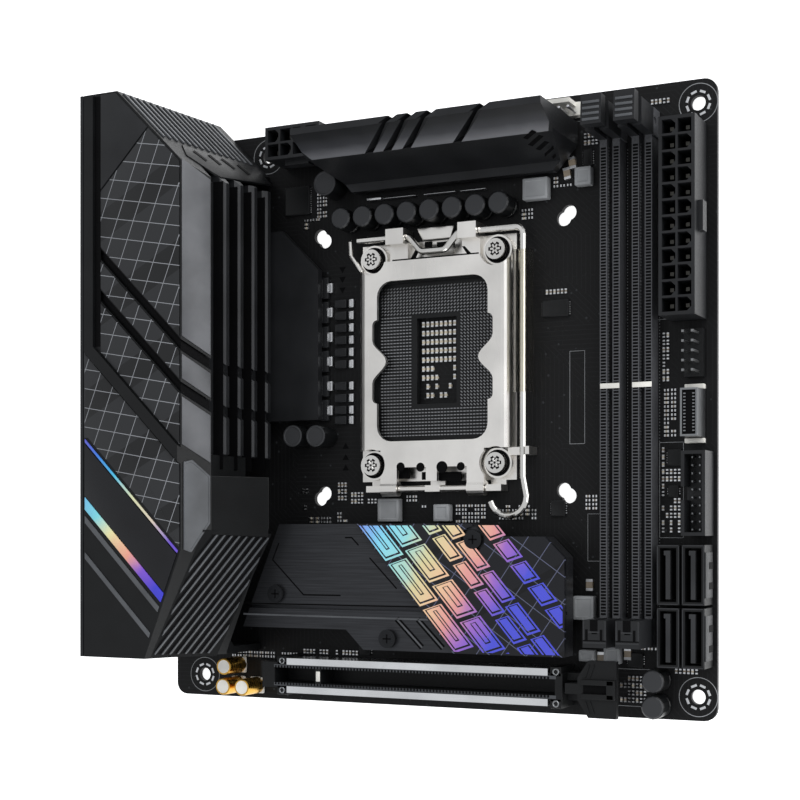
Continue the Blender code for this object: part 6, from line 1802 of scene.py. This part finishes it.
@dataclass
class NorthSink:
    """The north heatsink's slope with painted light, and painted shade in its slits and its east end's slots.
    """

    west: float = -26.9
    east: float = 47.1
    back: float = 77.0
    slits: tuple[float, ...] = (5.3, 11.0, 16.9, 32.1)
    slit: float = 2.6
    lean: float = 2.076
    ridge: Spot = (75.2, 30.8)
    brow: Spot = (70.3, 21.0)
    floor_turn: float = 74.8
    floor_back: float = 25.4
    corner: Spot = (1.5, 71.9)
    lit: tuple[str, ...] = ("#1c1d1f", "#28292b", "#434448", "#76777b")
    bus_bars: tuple[tuple[Corner, Corner, float], ...] = (
        ((-17.8, 62.2, 1.9), (-13.2, 62.1, 1.9), 0.8), ((-12.6, 62.0, 1.9), (-2.0, 61.9, 1.9), 0.3),
        ((0.5, 61.9, 1.9), (10.4, 61.8, 1.9), 0.3), ((12.0, 61.8, 1.9), (19.7, 61.7, 1.9), 0.3))
    front_slots: tuple[tuple[Corner, Corner], ...] = (
        ((41.95, 70.5, 21.8), (38.2, 69.7, 18.6)), ((42.98, 69.84, 19.18), (38.18, 68.74, 14.85)),
        ((43.3, 69.0, 15.8), (39.37, 68.08, 12.21)))
    end_slots: tuple[tuple[Corner, Corner], ...] = (
        ((44.4, 68.72, 11.9), (42.0, 65.9, 14.0)), ((44.4, 68.72, 7.8), (42.3, 66.25, 8.7)))
    slot: float = 1.4

    def build(self) -> None:
        """Builds the sheets of painted light on the slope and the painted shade in the slits and slots."""
        sheets = []
        for start, end in zip((None, *self.slits), (*self.slits, None)):
            (low_y, low_z), (high_y, high_z) = self.brow, self.ridge
            right = [(self.at(end, low_y), low_y, low_z), (self.at(end, high_y), high_y, high_z)]
            left = [(self.at(start, high_y) + self.slit, high_y, high_z),
                    (self.at(start, low_y) + self.slit, low_y, low_z)]
            turn_z = low_z + (self.corner[1] - low_y) * (high_z - low_z) / (high_y - low_y)
            if end is None:
                right = [(self.east - self.corner[0], low_y, low_z),
                         (self.east - 0.1, self.corner[1], turn_z),
                         (self.east - 0.1, high_y, high_z)]
            if start is None:
                left = [(self.west + 0.1, high_y, high_z), (self.west + 0.1, self.corner[1], turn_z),
                        (self.west + self.corner[0], low_y, low_z)]
            sheets.append(Bench.facet([left[-1], *right, *left[:-1]], -0.1, 0.03))
        # Painted light: the slope's colour runs from dark at the ridge to light grey at the brow.
        glow = ColourRun("painted_light_black_anodising", "black_anodised", self.lit[0], 0.4, 0.3,
                         start=(0.0, self.ridge[0]), end=(0.0, self.brow[0]), stops=self.lit)
        Bench.settle(sheets, "north_sink_slope_painted_light", glow)
        bars = [Bench.block((a[0], a[1] - width / 2, 0.0), (b[0], b[1] + width / 2, a[2]), 0.1)
                for a, b, width in self.bus_bars]
        Bench.settle(bars, "north_bus_bars", TIN)
        dark = []
        for slit in self.slits:
            low, turn = self.brow[0] + 0.1, self.floor_turn
            plan = [(self.at(slit, low), low), (self.at(slit, low) + self.slit, low),
                    (self.at(slit, turn) + self.slit, turn), (self.at(slit, turn), turn)]
            dark.append(Bench.plate(plan, self.brow[1] - 0.1, self.brow[1] + 0.03))
            floor = [(*plan[3], self.brow[1]), (*plan[2], self.brow[1]),
                     (slit + self.slit, self.back, self.floor_back),
                     (slit, self.back, self.floor_back)]
            dark.append(Bench.facet(floor, -0.1, 0.03))
        # The slots on the front and end chamfers are dark sheets of painted shade.
        dark += [Bench.bar(a, b, self.slot, 0.05, (0.0, -15.8, 4.0)) for a, b in self.front_slots]
        dark += [Bench.bar(a, b, self.slot, 0.05, (8.0, -6.8, 0.0)) for a, b in self.end_slots]
        Bench.settle(dark, "north_sink_shadows", PAINTED_SHADE_AND_DARK_INK)

    def at(self, slit: float | None, y: float) -> float:
        """Returns the x of a slit's west side at a y, or 0 where there is no slit."""
        return 0.0 if slit is None else slit - (self.back - y) * self.lean


@dataclass
class RearPorts:
    """Tongues, contacts and rings in the ports of the rear plate, which the photograph doesn't show."""

    usb_levels: tuple[tuple[str, tuple[float, ...]], ...] = (
        ("usb_stack_1", (6.7, 14.5, 22.3)), ("usb_stack_2", (6.7, 14.5, 22.3)),
        ("lan_usb_stack", (4.7, 12.5)))
    usb_tongue: Spot = (10.4, 1.9)
    network_level: float = 26.2
    network_contacts: int = 8
    audio_pitch: float = 11.8
    wireless_pitch: float = 14.0

    def build(self) -> None:
        """Builds the tongue ends, the network contacts, the audio rings and the aerial rings."""
        wide, thick = self.usb_tongue[0] / 2, self.usb_tongue[1] / 2
        tongues = []
        for node, levels in self.usb_levels:
            low, high = Bench.node_box(node)
            y = (low.y + high.y) / 2
            tongues += [Bench.block((low.x + 0.4, y - wide, z - thick), (low.x + 0.7, y + wide, z + thick),
                                    0.1) for z in levels]
        Bench.settle(tongues, "usb_tongues", TONGUE_BLUE)
        low, high = Bench.node_box("lan_usb_stack")
        first = (low.y + high.y) / 2 - 3.6
        contact = Bench.bar((low.x + 1.0, first, self.network_level),
                            (low.x + 9.0, first, self.network_level - 2.2), 0.4, 0.2)
        Bench.settle(Bench.row(contact, self.network_contacts, (0.0, 1.02, 0.0)), "network_contacts", GOLD)
        self.rings("audio_jacks", self.audio_pitch, self.audio_pitch, 2.4, "audio_rings", SHELL_TIN)
        self.rings("wifi_module", 0.0, self.wireless_pitch, 2.5, "aerial_rings", GOLD)

    def rings(self, node: str, across: float, up: float, radius: float, name: str, finish: Finish) -> None:
        """Builds a ring around each hole of a port block.

        Args:
            node: The port block.
            across: Distance between its columns of holes, or 0 for one column.
            up: Distance between its two rows of holes.
            radius: Radius of a ring.
            name: Name of the piece.
            finish: Finish of the rings.
        """
        low, high = Bench.node_box(node)
        rings = []
        for y in sorted({(low.y + high.y - across) / 2, (low.y + high.y + across) / 2}):
            for z in ((high.z - up) / 2, (high.z + up) / 2):
                ring = Bench.ring((0.0, 0.0, 0.0), radius, 0.4)
                rings.append(Bench.lay(ring, (low.x, y, z), (0.0, 1.0, 0.0), (0.0, 0.0, 1.0)))
        Bench.settle(rings, name, finish)


@dataclass
class StoragePlate:
    """The storage heatsink's engraved lines, its screws' drives and the print on its cover sheet."""

    top: float = 12.0
    lines: tuple[tuple[Spot, ...], ...] = (
        ((-41.5, -38.1), (-43.6, -43.0), (-33.2, -53.1), (-21.0, -53.1)),
        ((-19.6, -36.5), (-17.4, -36.5), (-15.2, -38.7)),
        ((-11.7, -42.2), (-3.1, -50.9)), ((-53.6, -55.9), (5.6, -55.9)))
    edge_line: tuple[Spot, Spot] = ((-53.6, -59.1), (8.0, -59.4))
    grooves: tuple[tuple[Spot, Spot], ...] = (((-3.1, -59.4), (4.8, -67.2)), ((3.5, -59.4), (11.2, -67.2)))
    sheet_edge: tuple[Spot, Spot] = ((-15.5, -32.6), (14.9, -68.4))
    sheet_margin: float = 0.5
    block_rows: tuple[tuple[float, float, float, float, int], ...] = (
        (0.5, 6.0, -1.0, 15.2, 3), (7.0, 13.0, 3.0, 11.6, 5), (15.6, 19.4, 9.0, 8.4, 6),
        (20.2, 24.0, 13.0, 10.0, 5), (28.5, 33.0, 24.0, 6.4, 5))
    block_gap: float = 1.3
    block_lean: float = 2.4
    layers: tuple[tuple[float, float, bool], ...] = (
        (0.0, 0.03, True), (0.45, 0.05, False), (0.85, 0.07, True), (2.2, 0.09, False), (2.5, 0.11, True))
    film_stops: tuple[str, ...] = (
        "#6b58c8", "#7fa8ee", "#86dcf4", "#9fdcd8", "#dcd2a0", "#ecc49c", "#e29a96", "#9a68c4", "#4a50d0")

    def build(self) -> None:
        """Builds the engraving, the grooves, the screw drives and the printed blocks."""
        # Painted shade: the engraved lines and the grooves are near-black bars.
        dark = [Bench.bar((*a, self.top), (*b, self.top), 0.42, 0.02)
                for line in self.lines for a, b in zip(line, line[1:])]
        dark += [Bench.bar((*a, self.top), (*b, self.top), 1.7, 0.03) for a, b in self.grooves]
        Bench.settle(dark, "storage_engraving", PAINTED_SHADE_AND_DARK_INK)
        # Painted highlight: pale bars along the step's edge and the grooves' edges.
        pale = [Bench.bar((*a, self.top), (*b, self.top), 0.5, 0.06)
                for a, b in (self.edge_line, *self.grooves)]
        Bench.settle(pale, "storage_edge_highlights", RIB_SHEEN)
        # Each drive is a near-black mark of painted shade on a dark steel disc.
        discs, drives = [], []
        for number in (1, 2, 3):
            low, high = Bench.node_box("m2_screw_%d" % number)
            middle = ((low.x + high.x) / 2, (low.y + high.y) / 2)
            discs.append(Bench.can((*middle, high.z - 0.4), 2.0, 0.42, 0.2))
            drives.append(Bench.drive((*middle, high.z + 0.02), 1.25, 0.45, 2))
        Bench.settle(discs, "storage_screw_discs", DARK_STEEL)
        Bench.settle(drives, "storage_screw_drives", PAINTED_SHADE_AND_DARK_INK)
        self.printed_blocks()

    def printed_blocks(self) -> None:
        """Builds the rows of slanted blocks, each a stack of coloured and dark outlines."""
        low, high = Bench.node_box("m2_cover")
        edge = self.sheet_margin
        bounds = [((low.x + edge, 0.0, 0.0), (-1.0, 0.0, 0.0)), ((high.x - edge, 0.0, 0.0), (1.0, 0.0, 0.0)),
                  ((0.0, low.y + edge, 0.0), (0.0, -1.0, 0.0)), ((0.0, high.y - edge, 0.0), (0.0, 1.0, 0.0))]
        coloured, plain = [], []
        for near, far, first, length, count in self.block_rows:
            for number in range(count):
                start = first + number * (length + self.block_gap)
                for inset, rise, bright in self.layers:
                    if far - near < 2 * inset + 0.3:
                        continue
                    piece = self.block(start + inset, start + length - inset, near + inset, far - inset,
                                       high.z, rise)
                    Bench.trim(piece, bounds)
                    if piece.data.polygons:
                        (coloured if bright else plain).append(piece)
                    else:
                        bpy.data.objects.remove(piece)
        film = ColourRun("interference_film_on_sheet", "printed_sheet", "#7fb0f0", 0.3, 0.1,
                           start=(low.x, high.y), end=(high.x - 14.0, low.y + 9.0), stops=self.film_stops)
        Bench.settle(coloured, "storage_colour_blocks", film)
        Bench.settle(plain, "storage_block_lines", SHEET_PRINT)

    def block(self, start: float, end: float, near: float, far: float, level: float, rise: float) -> Piece:
        """Models one slanted block of the print.

        Args:
            start: Its start along the sheet's slanted edge.
            end: Its end along that edge.
            near: Its near side's distance from that edge.
            far: Its far side's distance from that edge.
            level: Height of the sheet's top.
            rise: How far the block stands out of it.

        Returns:
            The block.
        """
        (x0, y0), (x1, y1) = self.sheet_edge
        along = Vector((x1 - x0, y1 - y0)).normalized()
        across = Vector((-along.y, along.x))
        lean = self.block_lean * (far - near) / self.block_rows[0][1]
        corners = []
        for run, out in ((start, near), (end, near), (end + lean, far), (start + lean, far)):
            spot = Vector((x0, y0)) + along * run + across * out
            corners.append((spot.x, spot.y))
        return Bench.plate(corners, level - 0.02, level + rise)


@dataclass
class Underside:
    """Solder points on the board's unseen lower face, below the plugs and slots."""

    level: float = -1.6
    radius: float = 0.75

    def build(self) -> None:
        """Builds rows of solder cones below each through-hole part."""
        rows = []
        for x in (57.5, 66.4):
            rows += [self.cones((x + side * 1.6, -55.0), 72, (0.0, 1.7)) for side in (-1, 1)]
        rows += [self.cones((-42.0, -76.78 + side * 2.2), 42, (2.0, 0.0)) for side in (-1, 1)]
        rows += [self.cones((75.59 + column * 4.2, 23.8), 12, (0.0, 4.2)) for column in (0, 1)]
        rows += [self.cones((-43.0, 76.8 + row * 4.2), 4, (4.2, 0.0)) for row in (0, 1)]
        Bench.settle(rows, "solder_points", TIN)

    def cones(self, first: Spot, count: int, step: Spot) -> Piece:
        """Models one solder cone and repeats it in a row.

        Args:
            first: Place of the first cone.
            count: How many there are.
            step: Move from each to the next.

        Returns:
            The row as one piece.
        """
        bpy.ops.object.select_all(action="DESELECT")
        bpy.ops.mesh.primitive_cone_add(vertices=10, radius1=self.radius, radius2=0.25, depth=0.9)
        cone = bpy.context.object
        turned = Matrix.Translation((*first, self.level - 0.42)) @ Matrix.Rotation(math.pi, 4, "X")
        cone.data.transform(turned)
        return Bench.row(cone, count, (*step, 0.0))


@dataclass
class Studio:
    """Floor, lights and the camera at the photograph's place."""

    camera_place: Corner = (186.37, -36.04, 399.29)
    camera_tilt: float = 25.945
    lens: float = 68.87
    shift_up: float = 0.170
    floor_size: float = 6.0

    def build(self) -> None:
        """Builds the floor, the lights, the world and the camera."""
        low = min(corner[2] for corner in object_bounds())
        bpy.ops.object.select_all(action="DESELECT")
        bpy.ops.mesh.primitive_plane_add(size=self.floor_size, location=(0.0, 0.0, low))
        floor = bpy.context.object
        floor.name = "studio_floor"
        paper = Moulded("white_paper_floor", "white_plastic", "#f6f6f6", 0.9, cloud=400.0).material()
        shader = paper.node_tree.nodes["Principled BSDF"]
        shader.inputs["Emission Color"].default_value = (1.0, 1.0, 1.0, 1.0)
        shader.inputs["Emission Strength"].default_value = 0.9
        floor.data.materials.append(paper)
        floor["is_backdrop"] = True
        for name, place, size, power in (("front_light", (0.9, 0.05, 0.25), 0.6, 2.4),
                                         ("north_light", (0.6, 0.7, 0.6), 0.6, 5.0),
                                         ("south_light", (0.1, -0.9, 0.45), 0.5, 2.0)):
            lamp = bpy.data.lights.new(name, "AREA")
            lamp.size = size
            lamp.energy = power
            light = bpy.data.objects.new(name, lamp)
            light.location = place
            light.rotation_euler = (-Vector(place)).to_track_quat("-Z", "Y").to_euler()
            bpy.context.collection.objects.link(light)
        world = bpy.data.worlds.new("studio_world")
        world.use_nodes = True
        sky = world.node_tree.nodes["Background"]
        sky.inputs["Color"].default_value = linear("#f2f4f7")
        sky.inputs["Strength"].default_value = 0.8
        bpy.context.scene.world = world
        bpy.context.scene.view_settings.view_transform = "Standard"
        lens = bpy.data.cameras.new("photo_camera")
        lens.lens = self.lens
        lens.shift_y = self.shift_up
        lens.clip_start = 0.01
        camera = bpy.data.objects.new("photo_camera", lens)
        camera.location = Bench.to_frame(self.camera_place)
        camera.rotation_euler = (0.0, math.radians(self.camera_tilt), 0.0)
        bpy.context.collection.objects.link(camera)
        bpy.context.scene.camera = camera


NODE_FINISHES: dict[str, Finish] = {
    "pcb": MASK, "cpu_backplate": DARK_STEEL, "socket_housing": NYLON, "clamp_frame": NICKEL,
    "clamp_screw": BRIGHT,
    "load_plate": NICKEL, "load_lever": BRIGHT, "lever_sleeve": SLEEVE, "dimm_slot": SLOT_NYLON,
    "dimm_latch": SLOT_NYLON, "pcie_slot_body": NYLON, "pcie_rail": RAIL, "pcie_latch": NYLON,
    "atx_power_housing": PLUG_NYLON, "cpu_power_housing": PLUG_NYLON, "atx_power_pins": PLUG_PINS,
    "cpu_power_pins": PLUG_PINS, "sata_port": NYLON, "usb3_header": PLUG_NYLON, "usb_c_header": SHELL_TIN,
    "front_panel_header": PINS_IN_NYLON, "fan_header": WHITE_NYLON, "capacitor": CAN, "audio_jacks": NYLON,
    "wifi_module": SHELL_TIN, "lan_usb_stack": SHELL_TIN, "usb_stack": SHELL_TIN, "reset_switch": NYLON,
    "reset_button": WHITE_NYLON, "display_stack": SHELL_TIN, "io_shield_plate": ANODISED,
    "io_cover": COVER_ABS,
    "vrm_heatsink": ANODISED, "m2_heatsink": BRUSHED, "m2_cover": SHEET_PRINT, "m2_screw": DARK_STEEL,
    "m2_socket": NYLON, "chipset": EPOXY}


def dress_solids(frame: dict) -> None:
    """Gives every loaded solid its finish.

    Args:
        frame: The loaded frame.
    """
    for name, node in frame["nodes"].items():
        finish = max((key for key in NODE_FINISHES if name.startswith(key)), key=len)
        for slot in node.material_slots:
            slot.material = NODE_FINISHES[finish].material()
        LOG.info("%s in %s", name, NODE_FINISHES[finish].name)


def main() -> None:
    """Builds the classes in order."""
    logging.basicConfig(level=logging.INFO, format="%(message)s")
    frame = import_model()
    dress_solids(frame)
    BoardFace().build()
    SmallParts().build(frame)
    for assembly in (Socket(), MemorySlots(), ExpansionSlot(), Plugs(), Capacitors(), RearCover(),
                     NorthSink(), RearPorts(), StoragePlate(), Underside()):
        assembly.build()
    Studio().build()


if __name__ == "__main__":
    main()
